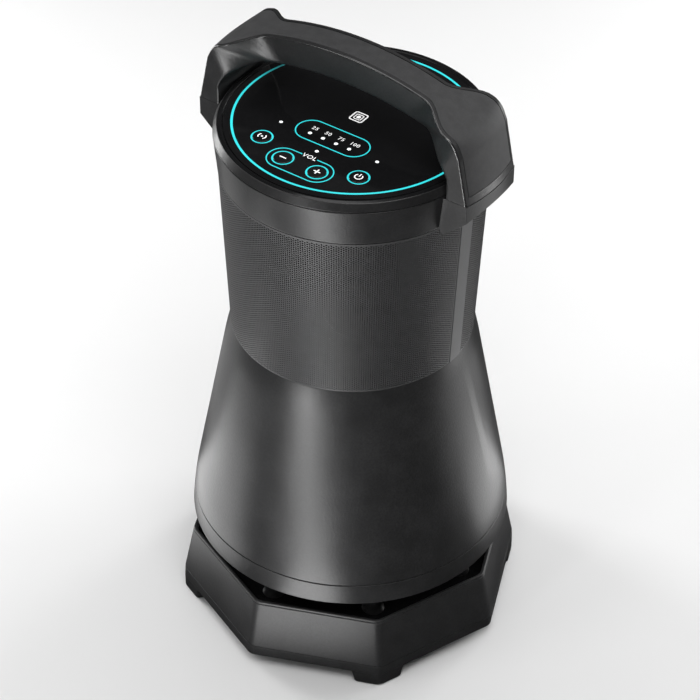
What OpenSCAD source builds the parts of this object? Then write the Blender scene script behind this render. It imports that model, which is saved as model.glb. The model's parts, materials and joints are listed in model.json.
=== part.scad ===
// Portable party speaker: an octagonal base on four feet carries a bell-shaped bass
// cabinet, a round grille section with four small drivers, and a control top with a
// carrying handle. Millimetres, +Z up, buttons towards -Y, origin on the floor.

/* [Fits] */
// Gap between parts that are fixed to each other
fit_gap = 0.1; // [0.05:0.01:0.2]
// Radial clearance of a pin or a screw in its hole
run_gap = 0.05; // [0.02:0.01:0.09]
// Radial clearance of a button in its light guide
button_gap = 0.35; // [0.2:0.05:0.4]
// Height and depth of the shadow grooves at the seams
groove = 0.6; // [0.4:0.1:0.9]

/* [Base] */
// Radius to the corners of the base at its bottom
base_r = 121; // [119:0.5:123]
// Radius to the corners of the base at its rim
rim_r = 113.1; // [112:0.1:115]
// Height of the four corner feet
foot_h = 10; // [8:0.5:12]
// Height of the seam between base plate and base shell
base_seam_z = 18; // [16:0.5:20]
// Height of the base's rim
rim_z = 55.7; // [54:0.1:57]
// Height of the glossy deck inside the rim
deck_z = 49; // [47:0.5:50]
// Wall of the base
base_wall = 3; // [2.5:0.1:3.5]
// Radius of the circle that the pillars stand on
pillar_ring_r = 92; // [91.5:0.1:93]
// Radius of a pillar's slim part
pillar_r = 6; // [5:0.5:6.5]
// Radius of a rubber foot pad
pad_r = 6.5; // [5:0.5:7]

/* [Body] */
// Height of the skirt's lower edge
skirt_z = 72.5; // [71:0.5:74]
// Height of the seam between skirt and cabinet
skirt_seam_z = 88; // [87:0.5:90]
// Height of the waist, where the grille starts
waist_z = 237.5; // [236:0.5:240]
// Height at which the cabinet's radius is stated
mid_z = 135; // [130:1:140]
// Radius of the cabinet at that height
mid_r = 101.7; // [101:0.1:102.5]
// Radius gained for each millimetre down the cabinet's straight part
body_slope = 0.186; // [0.18:0.001:0.19]
// Wall of the cabinet
cabinet_wall = 3.2; // [2.8:0.1:3.6]

/* [Grille] */
// Radius of the grille at the waist
grille_low_r = 81.8; // [81.5:0.1:82.2]
// Radius of the grille under the control top
grille_top_r = 87.5; // [87:0.1:87.6]
// Height of the grille's upper edge
grille_top_z = 362; // [361:0.5:364]
// Thickness of the perforated sheet
sheet = 0.8; // [0.6:0.1:1]
// Width of the upright strips that cover the sheet's joints
strip_w = 11.5; // [10:0.5:13]

/* [Control top] */
// Radius of the top housing at its lower edge
band_low_r = 87.7; // [87.6:0.1:88.2]
// Radius of the top housing at its upper edge
band_top_r = 90.2; // [90:0.1:91]
// Height of the seam between top housing and bezel
band_top_z = 388; // [387.5:0.5:389]
// Radius of the bezel's crown
crown_r = 86.8; // [86.6:0.05:87.2]
// Height of the bezel's crown
crown_z = 394.3; // [394.2:0.1:395]
// Radius of the glossy control panel
panel_r = 83.5; // [83:0.1:83.8]
// Height of the panel's face
panel_z = 393.8; // [393.5:0.1:394]
// Radius of the light ring's middle line
ring_r = 77.9; // [77:0.1:79]
// Width of the light ring
ring_w = 1.5; // [1.2:0.1:2]

/* [Buttons] */
// Radius of a button's cap
button_r = 6.1; // [5.8:0.1:6.3]
// Radius of the lit outline around a button
button_light_r = 7.25; // [7:0.05:7.5]
// How far a button travels
button_travel = 0.7; // [0.5:0.1:0.7]
// Distance of the volume buttons from the middle plane
volume_x = 13; // [12.5:0.1:13.5]
// Distance of the volume buttons in front of the middle
volume_y = 59; // [58.5:0.1:59.5]
// Distance of the pairing and power buttons from the middle plane
side_x = 37; // [36.5:0.1:37.5]
// Distance of the pairing and power buttons in front of the middle
side_y = 48.4; // [48:0.1:49]
// Radius of the outlines around the volume buttons and the battery lights
outline_r = 10.4; // [10.2:0.1:10.6]

/* [Handle] */
// Height of the handle's top above the floor
handle_z = 449; // [447:0.5:451]
// Radius of the arch over the handle's top
arch_r = 221; // [215:1:230]
// Thickness of the bar at its middle
bar_t = 20; // [18:0.5:21]
// Half of the bar's width
bar_half_w = 12.3; // [11.5:0.1:13]
// Half of a leg's width
leg_half_w = 27.5; // [26:0.5:28]
// Radius of the leg's outer face at its foot
leg_r = 106; // [105:0.5:107]
// Height of the seam between leg and bracket
leg_z = 386.4; // [385.5:0.1:387]
// Width of the hard edge left beside the soft grip
grip_inset = 3.5; // [3:0.1:4]
// Thickness of the soft grip
grip_t = 1.4; // [1.2:0.1:1.8]

/* [Woofer] */
// Radius of the woofer's flange
woofer_r = 87; // [86:0.5:87]
// Radius of the cone at its rim
woofer_cone_r = 66; // [64:0.5:66]
// Radius of the magnet
magnet_r = 50; // [46:1:52]

/* [Drivers] */
// Height of the four drivers' centres
driver_z = 300; // [298:1:302]
// Distance of the drivers' mounting faces from the middle
driver_d = 66; // [65:0.5:66]
// Radius of a driver's flange
driver_flange_r = 38; // [37:0.5:38]
// Radius of a driver's cone at its rim
driver_cone_r = 26.8; // [26:0.1:27]

/* [Rear sockets] */
// Half of the socket recess's width
recess_half_w = 30; // [28:1:31]
// Height of the recess's lower edge
recess_low_z = 103; // [102:0.5:104]
// Height of the recess's upper edge
recess_top_z = 133; // [132:0.5:134]
// Radius of the cover's hinge pin
hinge_pin_r = 1; // [0.8:0.1:1.1]

/* [Hidden] */
$fn = 96;

// A cut goes this far past the face that it opens
over = 1;
// Half angle of one side of an octagon, and the angle between two corners
half_side = 22.5;
corner_step = 45;
corners = [0:corner_step:359];
sides = [half_side:corner_step:359];
quarters = [0:90:359];
diagonals = [45:90:359];

// Base heights, radii and screws
base_corner_trim = 0.45;
plate_t = 3;
deck_t = 3;
foot_floor_gap = 0.4;
foot_depth = 25;
foot_low_half_w = 16.2;
foot_top_half_w = 18.4;
pad_h = 2;
pad_ring_r = 107;
plate_screw_ring_r = 84;
plate_screw_r = 1.6;
plate_screw_len = 22;
plate_boss_r = 4.2;
screw_head_r = 3.2;
screw_head_h = 2.4;
base_seam_r = base_r - 0.4;
wall_at_corner = base_wall / cos(half_side);
pillar_screw_r = 2;
pillar_flare = 3;
pillar_boss_r = 4.3;
pillar_boss_h = 9;
deflector_r = 40;
deflector_h = 17;
deflector_wall = 2.4;

// Body outline: straight, curving in towards the skirt
bend_z = 108;
bend_rate = 0.0017;
curve_step = 4;
skirt_wall = 4;
skirt_edge = 0.8;
baffle_low_z = 80;
baffle_t = 4;
baffle_z = baffle_low_z + baffle_t;
baffle_hole_r = 80;
ledge_low_z = 227;
ledge_z = 234;
ledge_r = 67;
gusset_z = 214;
partition_r = 79.4;

// Woofer: heights rise from the flange, because the cone faces down
flange_t = 3;
woofer_screw_ring_r = 83.5;
woofer_screw_r = 1.6;
basket_wall = 2;
basket_top_z = 128;
basket_low_r = 79;
basket_top_r = 46;
basket_spokes = 6;
top_plate_z = 132;
magnet_z = 136;
yoke_z = 154;
yoke_top_z = 160;
pole_r = 17.5;
coil_r = 18.3;
coil_t = 1;
coil_gap_r = 20.5;
cone_t = 1;
cone_rim_z = 88;
cone_neck_z = 116;
cap_r = 22;
spider_z = 122.4;
spider_r = 43;
surround_r = 75.8;

// Rear recess and its cover
recess_wall = 2;
recess_back_y = 88;
recess_back_t = 3;
recess_mid_z = (recess_low_z + recess_top_z) / 2;
cover_gap = 0.4;
cover_inset = 0.2;
cover_t = 2.5;
knuckle_r = 2;
hinge_z = recess_top_z - 3;
hinge_y = body_r(hinge_z) - knuckle_r - cover_inset;
knuckle_half_w = 12;
lug_t = 3;
socket_back_y = 76;
inlet_x = -17;
audio_x = 3;
usb_x = 18;

// Battery and boards
cell_r = 9.1;
cell_len = 65;
cell_z = 166;
cell_ring_r = 30;
cells = 8;
holder_r = 43;
holder_cup = 5;
holder_floor = 3;
column_r = 8;
board_t = 1.6;
main_board_y = -62;
main_board_half_w = 35;
main_board_z = 172;

// Driver section
frame_r = 79.5;
frame_wall = 3;
baffle_wall = 4;
frame_z = 366;
frame_ring_t = 4;
frame_hole_r = 60;
frame_screw_ring_r = 70;
frame_screw_r = 1.7;
driver_window_r = 33.2;
driver_cup_r = 32.6;
driver_back_r = 24;
driver_depth = 22;
driver_magnet_r = 22;
driver_magnet_t = 14;
driver_wall = 1.6;
driver_screw_ring_r = 35.6;
driver_screw_r = 1.2;

// Control top
top_floor_z = 366;
top_floor_t = 3;
top_wall = 3;
ledge_in_r = 80;
ledge_t = 2.2;
panel_low_z = 390.5;
panel_gap = 0.5;
bezel_edge = 1.2;
clip_w = 12;
clip_t = 1.8;
clip_len = 8;
light_low_z = 389;
light_proud = 0.1;
button_proud = 0.5;
cap_low_z = 387.2;
cap_flange_r = 7.4;
cap_flange_t = 1.1;
stem_r = 2;
stem_low_z = 386.4;
outline_w = 0.7;
outline_depth = 1.2;
outline_gap_half_w = 5.4;
battery_x = 16;
battery_y = 24;
dot_pitch = 10;
dot_y = 27.4;
dot_r = 1.3;
small_dot_r = 1.2;
control_board_z = 380;
control_board_r = 68;
mat_t = 1.2;
mat_half_w = 43;
mat_depth = 25;
dome_r = 4;
dome_h = 1.1;
board_post_r = 3.5;
board_post_ring_r = 60;

// Handle
leg_lean = 0.2;
leg_inner_x = 87.5;
under_r = 240;
under_end_x = 62;
shoulder_start_x = 86;
shoulder_end_z = 419;
shoulder = [95.3, 428.4];
crook = [82.5, 415.5];
crook_end_z = 400;
flare_start_x = 60;
flare_end_x = 85;
housing_clear = 0.4;
grip_end_z = 392;
grip_groove = 0.35;
bracket_low_z = 358.5;
bracket_knee_z = 376.5;
bracket_foot_x = 86;
bracket_r = 106.4;
handle_screw_y = 13;
handle_screw_z = 379;
handle_screw_r = 2;
curve_points = 12;

// Control cable: radius, sides and route from the main board up to the control board
cable_r = 1.8;
cable_sides = 8;
cable_rings_per_span = 4;
cable_route = [
    [0, -58, 214], [0, -54, 218], [0, -51, 226], [0, -50, 238], [1, -50, 262],
    [-1, -50, 290], [1, -50, 318], [-1, -50, 346], [0, -50, 366], [0, -50, 379.8]
];

// Outer radius of the skirt and the cabinet at a height
function body_r(z) =
    mid_r + body_slope * (mid_z - z)
    - (z < bend_z ? bend_rate * pow(bend_z - z, 2) : 0);

// Outline of the body between two heights, moved inwards, from the first to the second
function body_curve(from_z, to_z, inset) =
    let (steps = max(1, round(abs(to_z - from_z) / curve_step)))
    [for (i = [0:steps]) let (z = from_z + (to_z - from_z) * i / steps) [body_r(z) - inset, z]];

// Outer radius of the grille at a height
function grille_r(z) =
    grille_low_r + (grille_top_r - grille_low_r) * (z - waist_z) / (grille_top_z - waist_z);

// Outer radius of the top housing at a height
function band_r(z) =
    band_low_r + (band_top_r - band_low_r) * (z - grille_top_z) / (band_top_z - grille_top_z);

// Half of the handle's width at a distance from the middle: bar, soft flare, leg
function handle_half_w(x) =
    let (s = min(1, max(0, (x - flare_start_x) / (flare_end_x - flare_start_x))))
    bar_half_w + (leg_half_w - bar_half_w) * s * s * (3 - 2 * s);

// Height of the handle's arch at a distance from the middle
function arch_z(x) = handle_z - arch_r + sqrt(arch_r * arch_r - x * x);

// Height of the bar's underside at a distance from the middle
function under_z(x) = handle_z - bar_t - under_r + sqrt(under_r * under_r - x * x);

// Point on a curve that leaves a towards b and arrives at c
function bend(a, b, c, t) = (1 - t) * (1 - t) * a + 2 * t * (1 - t) * b + t * t * c;

// A list of points seen in a mirror on the Y axis, in the other order
function mirrored(points) =
    [for (i = [len(points) - 1:-1:0]) [-points[i][0], points[i][1]]];

// Length 1 along a direction
function unit(v) = v / norm(v);

// A point on a smooth curve through four route points, between the middle two
function smooth(a, b, c, d, t) =
    0.5 * (2 * b + (c - a) * t + (2 * a - 5 * b + 4 * c - d) * t * t
    + (3 * b - a - 3 * c + d) * t * t * t);

// Eight-sided prism or frustum with corners on the axes, from exact slabs
module octagon(low_r, top_r, low_z, top_z) {
    low_flat = low_r * cos(half_side);
    top_flat = top_r * cos(half_side);
    intersection() {
        intersection_for (turn = [half_side:corner_step:180])
            rotate(turn)
            rotate([90, 0, 0])
            linear_extrude(height = 4 * base_r, center = true)
            polygon([
                [-low_flat, low_z], [low_flat, low_z], [top_flat, top_z], [-top_flat, top_z]
            ]);
        translate([0, 0, low_z])
            cylinder(h = top_z - low_z, r1 = low_r - base_corner_trim, r2 = top_r - base_corner_trim);
    }
}

// A copy of the children at each angle on a circle
module around(angles, ring_r) {
    for (turn = angles)
        rotate(turn)
        translate([ring_r, 0, 0])
        children();
}

// An upright cylinder between two heights
module post(r, low_z, top_z) {
    translate([0, 0, low_z])
        cylinder(h = top_z - low_z, r = r);
}

// An upright tube between two heights
module tube(outer_r, inner_r, low_z, top_z) {
    difference() {
        post(outer_r, low_z, top_z);
        post(inner_r, low_z - over, top_z + over);
    }
}

// A screw that points up, with its head below the seat
module screw_up(r, head_r, head_h, seat_z, len) {
    post(head_r, seat_z - head_h, seat_z);
    post(r, seat_z - fit_gap, seat_z + len);
}

// A screw that points down, with its head above the seat
module screw_down(r, head_r, head_h, seat_z, len) {
    post(head_r, seat_z, seat_z + head_h);
    post(r, seat_z - len, seat_z + fit_gap);
}

module base_plate() {
    color([0.09, 0.09, 0.095])
    difference() {
        union() {
            octagon(base_r, base_seam_r, foot_h, base_seam_z);
            intersection() {
                octagon(base_r, base_r, foot_floor_gap, foot_h + over);
                around(diagonals, base_r - foot_depth)
                    rotate([90, 0, 90])
                    linear_extrude(height = 2 * foot_depth)
                    polygon([
                        [-foot_low_half_w, foot_floor_gap], [foot_low_half_w, foot_floor_gap],
                        [foot_top_half_w, foot_h + over], [-foot_top_half_w, foot_h + over]
                    ]);
            }
        }
        octagon(base_seam_r - wall_at_corner, base_seam_r - wall_at_corner,
            foot_h + plate_t, base_seam_z + over);
        around(diagonals, pad_ring_r)
            post(pad_r + fit_gap, 0, pad_h);
        around(sides, plate_screw_ring_r)
            post(plate_screw_r + run_gap, foot_h - over, foot_h + plate_t + over);
    }
}

module foot_pads() {
    color([0.05, 0.05, 0.05])
    around(diagonals, pad_ring_r)
        post(pad_r, 0, pad_h);
}

module base_plate_screws() {
    color([0.3, 0.3, 0.32])
    around(sides, plate_screw_ring_r)
        screw_up(plate_screw_r, screw_head_r, screw_head_h, foot_h, plate_screw_len);
}

module base_shell() {
    // Radius to the corners at a height, on the straight slope from seam to rim
    function shell_r(z) =
        base_seam_r + (rim_r - base_seam_r) * (z - base_seam_z) / (rim_z - base_seam_z);
    groove_z = base_seam_z + groove;
    boss_low_z = foot_h + plate_t;
    deck_low_z = deck_z - deck_t;
    color([0.1, 0.1, 0.105])
    difference() {
        union() {
            difference() {
                union() {
                    octagon(base_seam_r - groove, base_seam_r - groove, base_seam_z, groove_z);
                    octagon(shell_r(groove_z), rim_r, groove_z, rim_z);
                }
                octagon(shell_r(deck_z) - wall_at_corner, shell_r(rim_z + over) - wall_at_corner,
                    deck_z, rim_z + over);
                octagon(shell_r(base_seam_z - over) - wall_at_corner,
                    shell_r(deck_low_z) - wall_at_corner, base_seam_z - over, deck_low_z);
            }
            around(sides, plate_screw_ring_r)
                post(plate_boss_r, boss_low_z, deck_z - fit_gap);
        }
        around(sides, plate_screw_ring_r)
            post(plate_screw_r + run_gap, boss_low_z - over, foot_h + plate_screw_len + over);
        around(corners, pillar_ring_r)
            post(pillar_screw_r + run_gap, deck_low_z - over, deck_z + over);
    }
}

module sound_deflector() {
    module dome(r, h) {
        rotate_extrude()
            polygon(concat([[0, deck_z]], [
                for (i = [curve_points:-1:0])
                    let (s = i / curve_points)
                    [r * s, deck_z + h * (1 + cos(180 * s)) / 2]
            ]));
    }
    color([0.06, 0.06, 0.06])
    difference() {
        dome(deflector_r, deflector_h);
        translate([0, 0, -fit_gap])
            dome(deflector_r - 2 * deflector_wall, deflector_h - deflector_wall);
    }
}

module pillars() {
    arc = [0:15:90];
    wide_r = pillar_r + pillar_flare;
    low_z = deck_z + pillar_flare;
    top_z = baffle_low_z - pillar_flare;
    bore_r = pillar_screw_r + run_gap;
    color([0.08, 0.08, 0.085])
    around(corners, pillar_ring_r)
        rotate_extrude()
        polygon(concat(
            [[bore_r, deck_z]],
            [for (a = arc) [wide_r - pillar_flare * sin(a), low_z - pillar_flare * cos(a)]],
            [for (a = arc) [wide_r - pillar_flare * cos(a), top_z + pillar_flare * sin(a)]],
            [[bore_r, baffle_low_z]]
        ));
}

module pillar_screws() {
    color([0.3, 0.3, 0.32])
    around(corners, pillar_ring_r)
        screw_up(pillar_screw_r, screw_head_r, screw_head_h, deck_z - deck_t,
            baffle_z + pillar_boss_h - deck_z);
}

module skirt_ring() {
    color([0.1, 0.1, 0.105])
    difference() {
        union() {
            rotate_extrude()
                polygon(concat(
                    [[body_r(skirt_z) - skirt_wall, skirt_z], [body_r(skirt_z) - skirt_edge, skirt_z]],
                    body_curve(skirt_z + skirt_edge, skirt_seam_z, 0),
                    [
                        [body_r(skirt_seam_z) - skirt_wall, skirt_seam_z],
                        [body_r(baffle_z) - skirt_wall, baffle_z],
                        [baffle_hole_r, baffle_z],
                        [baffle_hole_r, baffle_low_z],
                        [body_r(baffle_low_z) - skirt_wall, baffle_low_z]
                    ]
                ));
            around(corners, pillar_ring_r)
                post(pillar_boss_r, baffle_z - fit_gap, baffle_z + pillar_boss_h);
        }
        around(corners, pillar_ring_r)
            post(pillar_screw_r + run_gap, baffle_low_z - over, baffle_z + pillar_boss_h + over);
        around(sides, woofer_screw_ring_r)
            post(woofer_screw_r + run_gap, baffle_low_z - over, baffle_z + over);
    }
}

// The space of the rear recess, with or without its wall
module recess_block(wall, back_y) {
    translate([-recess_half_w - wall, back_y, recess_low_z - wall])
        cube([
            2 * (recess_half_w + wall), base_r - back_y, recess_top_z - recess_low_z + 2 * wall
        ]);
}

module cabinet_shell() {
    color([0.1, 0.1, 0.105])
    difference() {
        rotate_extrude()
            polygon(concat(
                [
                    [body_r(skirt_seam_z) - skirt_wall, skirt_seam_z],
                    [body_r(skirt_seam_z) - groove, skirt_seam_z],
                    [body_r(skirt_seam_z) - groove, skirt_seam_z + groove]
                ],
                body_curve(skirt_seam_z + groove, waist_z, 0),
                [
                    [body_r(waist_z) - cabinet_wall, waist_z],
                    [body_r(ledge_z) - cabinet_wall, ledge_z],
                    [ledge_r, ledge_z],
                    [ledge_r, ledge_low_z]
                ],
                body_curve(gusset_z, skirt_seam_z + over, cabinet_wall)
            ));
        recess_block(0, 0);
        around(quarters, frame_screw_ring_r)
            post(frame_screw_r + run_gap, gusset_z, ledge_z + over);
    }
}

module woofer_basket() {
    height = basket_top_z - baffle_z - flange_t;
    module cup(r_low, r_top) {
        translate([0, 0, baffle_z + flange_t])
            cylinder(h = height, r1 = r_low, r2 = r_top);
    }
    color([0.2, 0.2, 0.21])
    difference() {
        union() {
            tube(woofer_r, surround_r + 0.4, baffle_z, baffle_z + flange_t);
            difference() {
                cup(basket_low_r, basket_top_r);
                cup(basket_low_r - basket_wall, basket_top_r - basket_wall);
                for (i = [0:basket_spokes - 1])
                    rotate(360 * (i + 0.5) / basket_spokes)
                    translate([basket_top_r + 4, -12, baffle_z + flange_t + 8])
                    cube([30, 24, height - 18]);
            }
            tube(basket_top_r, spider_r - 1, basket_top_z - 3, basket_top_z);
            tube(magnet_r, coil_gap_r, basket_top_z, top_plate_z);
        }
        around(sides, woofer_screw_ring_r)
            post(woofer_screw_r + run_gap, baffle_z - over, baffle_z + flange_t + over);
    }
}

module woofer_yoke() {
    color([0.55, 0.55, 0.57])
    union() {
        post(pole_r, top_plate_z, yoke_z + fit_gap);
        post(magnet_r, yoke_z, yoke_top_z);
    }
    color([0.55, 0.55, 0.57])
    tube(magnet_r, coil_gap_r, top_plate_z, magnet_z);
}

module woofer_magnet() {
    color([0.15, 0.15, 0.16])
    tube(magnet_r - 1, coil_gap_r + 2, magnet_z, yoke_z);
}

module woofer_surround() {
    lip = 2.5;
    inner_r = woofer_cone_r + 0.6;
    roll_r = (surround_r - inner_r) / 2 - lip / 2;
    mid = (surround_r + inner_r) / 2;
    skin = 0.8;
    top_z = cone_rim_z;
    arc = [0:15:180];
    color([0.05, 0.05, 0.05])
    rotate_extrude()
        polygon(concat(
            [[inner_r, top_z], [inner_r, top_z - skin]],
            [for (a = arc) [mid - (roll_r + skin) * cos(a), top_z - skin - (roll_r + skin) * sin(a)]],
            [[surround_r, top_z - skin], [surround_r, top_z]],
            [for (a = arc) [mid + roll_r * cos(a), top_z - skin / 2 - roll_r * sin(a)]]
        ));
}

module woofer_spider() {
    waves = 5;
    skin = 0.8;
    inner_r = coil_r + coil_t + 0.5;
    steps = waves * 6;
    color([0.75, 0.65, 0.4])
    rotate_extrude()
        polygon(concat(
            [for (i = [0:steps]) [
                inner_r + (spider_r - inner_r) * i / steps,
                spider_z + 0.8 * sin(360 * waves * i / steps)
            ]],
            [for (i = [steps:-1:0]) [
                inner_r + (spider_r - inner_r) * i / steps,
                spider_z + skin + 0.8 * sin(360 * waves * i / steps)
            ]]
        ));
}

module woofer_cone() {
    color([0.12, 0.12, 0.12])
    rotate_extrude()
        polygon([
            [woofer_cone_r, cone_rim_z - cone_t], [woofer_cone_r, cone_rim_z],
            [coil_r + coil_t + fit_gap, cone_neck_z], [coil_r + coil_t + fit_gap, cone_neck_z - cone_t]
        ]);
}

module woofer_dust_cap() {
    rise = 9;
    ball_r = (cap_r * cap_r + rise * rise) / (2 * rise);
    slope = (cone_neck_z - cone_rim_z) / (woofer_cone_r - coil_r);
    seat_z = cone_neck_z - cone_t - slope * (cap_r - coil_r) - 2 * fit_gap;
    color([0.08, 0.08, 0.08])
    difference() {
        intersection() {
            translate([0, 0, seat_z - rise + ball_r])
                sphere(r = ball_r);
            post(cap_r, seat_z - rise - over, seat_z);
        }
        translate([0, 0, seat_z - rise + ball_r])
            sphere(r = ball_r - 0.8);
    }
}

module woofer_voice_coil() {
    color([0.7, 0.4, 0.2])
    tube(coil_r + coil_t, coil_r, cone_neck_z - 2, top_plate_z + 8);
}

module woofer_screws() {
    color([0.3, 0.3, 0.32])
    around(sides, woofer_screw_ring_r)
        screw_down(woofer_screw_r, screw_head_r - 0.2, screw_head_h, baffle_z + flange_t, 6);
}

module jack_panel() {
    lug_x = knuckle_half_w + cover_gap;
    color([0.07, 0.07, 0.07])
    difference() {
        union() {
            difference() {
                intersection() {
                    recess_block(recess_wall, recess_back_y);
                    rotate_extrude()
                        polygon(concat(
                            [[0, recess_low_z - 2 * recess_wall]],
                            body_curve(recess_low_z - 2 * recess_wall, recess_top_z + 2 * recess_wall,
                                cabinet_wall + fit_gap),
                            [[0, recess_top_z + 2 * recess_wall]]
                        ));
                }
                recess_block(0, recess_back_y + recess_back_t);
            }
            for (side = [-1, 1])
                translate([
                    side * (lug_x + lug_t / 2) - lug_t / 2, recess_back_y + recess_back_t - fit_gap,
                    hinge_z - knuckle_r
                ])
                cube([
                    lug_t, hinge_y + over - recess_back_y - recess_back_t,
                    recess_top_z - hinge_z + knuckle_r
                ]);
        }
        translate([0, hinge_y, hinge_z])
            rotate([0, 90, 0])
            cylinder(h = 4 * knuckle_half_w, r = hinge_pin_r + 0.02, center = true);
        socket_hole(inlet_x, 5.6);
        socket_hole(audio_x, 3.6);
        translate([usb_x - 6.1, 0, recess_mid_z - 3.6])
            cube([12.2, base_r, 7.2]);
    }
}

// A round hole through the recess's back, for a socket's collar
module socket_hole(x, r) {
    translate([x, recess_back_y - over, recess_mid_z])
        rotate([-90, 0, 0])
        cylinder(h = recess_back_t + 2 * over, r = r + fit_gap);
}

module port_cover() {
    low_z = recess_low_z + cover_gap;
    half_w = recess_half_w - cover_gap;
    color([0.06, 0.06, 0.06])
    difference() {
        union() {
            intersection() {
                translate([-half_w, 0, low_z])
                    cube([2 * half_w, base_r, hinge_z - low_z]);
                rotate_extrude()
                    polygon(concat(
                        body_curve(low_z - over, hinge_z + over, cover_inset),
                        body_curve(hinge_z + over, low_z - over, cover_inset + cover_t)
                    ));
            }
            translate([0, hinge_y, hinge_z])
                rotate([0, 90, 0])
                cylinder(h = 2 * knuckle_half_w, r = knuckle_r, center = true);
        }
        translate([0, hinge_y, hinge_z])
            rotate([0, 90, 0])
            cylinder(h = 4 * knuckle_half_w, r = hinge_pin_r + run_gap, center = true);
        for (side = [-1, 1])
            translate([
                side * (knuckle_half_w + 2 * lug_t) - 2 * lug_t, hinge_y - 2 * knuckle_r,
                hinge_z - knuckle_r - cover_gap
            ])
            cube([4 * lug_t, 4 * knuckle_r, 4 * knuckle_r]);
    }
}

module port_cover_pin() {
    color([0.7, 0.7, 0.72])
    translate([0, hinge_y, hinge_z])
        rotate([0, 90, 0])
        cylinder(h = 2 * (knuckle_half_w + lug_t), r = hinge_pin_r, center = true);
}

// A socket's body behind the recess, with a round collar and a hole towards +Y
module round_socket(x, collar_r, hole_r, depth) {
    mouth_y = recess_back_y + recess_back_t + 1.5;
    difference() {
        union() {
            translate([x - collar_r - 1, socket_back_y, recess_mid_z - collar_r - 1])
                cube([2 * collar_r + 2, recess_back_y - fit_gap - socket_back_y, 2 * collar_r + 2]);
            translate([x, recess_back_y - over, recess_mid_z])
                rotate([-90, 0, 0])
                cylinder(h = mouth_y - recess_back_y + over, r = collar_r);
        }
        translate([x, mouth_y - depth, recess_mid_z])
            rotate([-90, 0, 0])
            cylinder(h = depth + over, r = hole_r);
    }
}

module power_inlet() {
    depth = 12;
    pin_r = 1;
    color([0.1, 0.1, 0.1])
    union() {
        round_socket(inlet_x, 5.6, 2.9, depth);
        translate([inlet_x, recess_back_y - depth + 2, recess_mid_z])
            rotate([-90, 0, 0])
            cylinder(h = depth, r = pin_r);
    }
}

module audio_jack() {
    color([0.1, 0.1, 0.1])
    round_socket(audio_x, 3.6, 1.8, 14);
}

module usb_port() {
    mouth_y = recess_back_y + recess_back_t + 0.5;
    color([0.6, 0.6, 0.62])
    difference() {
        translate([usb_x - 6, socket_back_y, recess_mid_z - 3.5])
            cube([12, mouth_y - socket_back_y, 7]);
        difference() {
            translate([usb_x - 4.4, mouth_y - 7, recess_mid_z - 1.6])
                cube([8.8, 7 + over, 3.2]);
            translate([usb_x - 3.2, mouth_y - 8, recess_mid_z - 0.4])
                cube([6.4, 6, 0.8]);
        }
    }
}

module battery_cells() {
    color([0.2, 0.35, 0.6])
    around([for (i = [0:cells - 1]) 360 * i / cells], cell_ring_r)
        post(cell_r, cell_z, cell_z + cell_len);
}

module battery_holder() {
    low_z = cell_z - holder_floor;
    top_z = cell_z + cell_len;
    color([0.12, 0.12, 0.13])
    difference() {
        union() {
            post(holder_r, low_z, cell_z + holder_cup);
            post(holder_r, top_z - holder_cup, top_z + holder_floor);
            post(column_r, low_z, top_z + holder_floor);
        }
        around([for (i = [0:cells - 1]) 360 * i / cells], cell_ring_r)
            post(cell_r + fit_gap, cell_z, top_z);
    }
}

module main_board() {
    coil_z = main_board_z + 20;
    chip_z = main_board_z + 38;
    color([0.1, 0.3, 0.15])
    union() {
        translate([-main_board_half_w, main_board_y, main_board_z])
            cube([2 * main_board_half_w, board_t, ledge_low_z - main_board_z - 8]);
        for (x = [-24, -10, 4])
            translate([x, main_board_y - 12, coil_z])
            rotate([-90, 0, 0])
            cylinder(h = 12.5, r = 5.5);
        translate([14, main_board_y - 3, coil_z - 8])
            cube([16, 3.5, 16]);
        translate([-20, main_board_y - 2, chip_z - 6])
            cube([14, 2.5, 12]);
    }
}

module partition_plate() {
    cable_hole_r = 4;
    color([0.15, 0.15, 0.16])
    difference() {
        post(partition_r, ledge_z, waist_z);
        translate([0, cable_route[3][1], 0])
            post(cable_hole_r, ledge_z - over, waist_z + over);
        around(quarters, frame_screw_ring_r)
            post(frame_screw_r + run_gap, ledge_z - over, waist_z + over);
    }
}

// A square block with its corners on the X and Y axes
module turned_square(half_w, low_z, top_z) {
    translate([0, 0, low_z])
        rotate(45)
        translate([-half_w, -half_w, 0])
        cube([2 * half_w, 2 * half_w, top_z - low_z]);
}

// The children at the place of each driver, facing outwards along +X
module at_drivers(angles) {
    for (turn = angles)
        rotate(turn)
        translate([driver_d, 0, driver_z])
        children();
}

// A round shape about a driver's axis, from points of distance forwards and radius
module driver_turned(points) {
    rotate([0, 90, 0])
        rotate_extrude()
        polygon([for (p = points) [p[1], p[0]]]);
}

module driver_frame() {
    low_z = waist_z;
    color([0.13, 0.13, 0.14])
    difference() {
        intersection() {
            post(frame_r, low_z, frame_z);
            turned_square(driver_d, low_z, frame_z);
        }
        intersection() {
            post(frame_r - frame_wall, low_z + frame_ring_t, frame_z - frame_ring_t);
            turned_square(driver_d - baffle_wall, low_z, frame_z);
        }
        post(frame_hole_r, low_z - over, frame_z + over);
        at_drivers(diagonals)
            rotate([0, 90, 0])
            cylinder(h = 4 * baffle_wall, r = driver_window_r, center = true);
        at_drivers(diagonals)
            rotate([0, 90, 0])
            around(diagonals, driver_screw_ring_r)
            cylinder(h = 4 * baffle_wall, r = driver_screw_r + run_gap, center = true);
        around(quarters, frame_screw_ring_r)
            post(frame_screw_r + run_gap, low_z - over, frame_z + over);
    }
}

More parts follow.
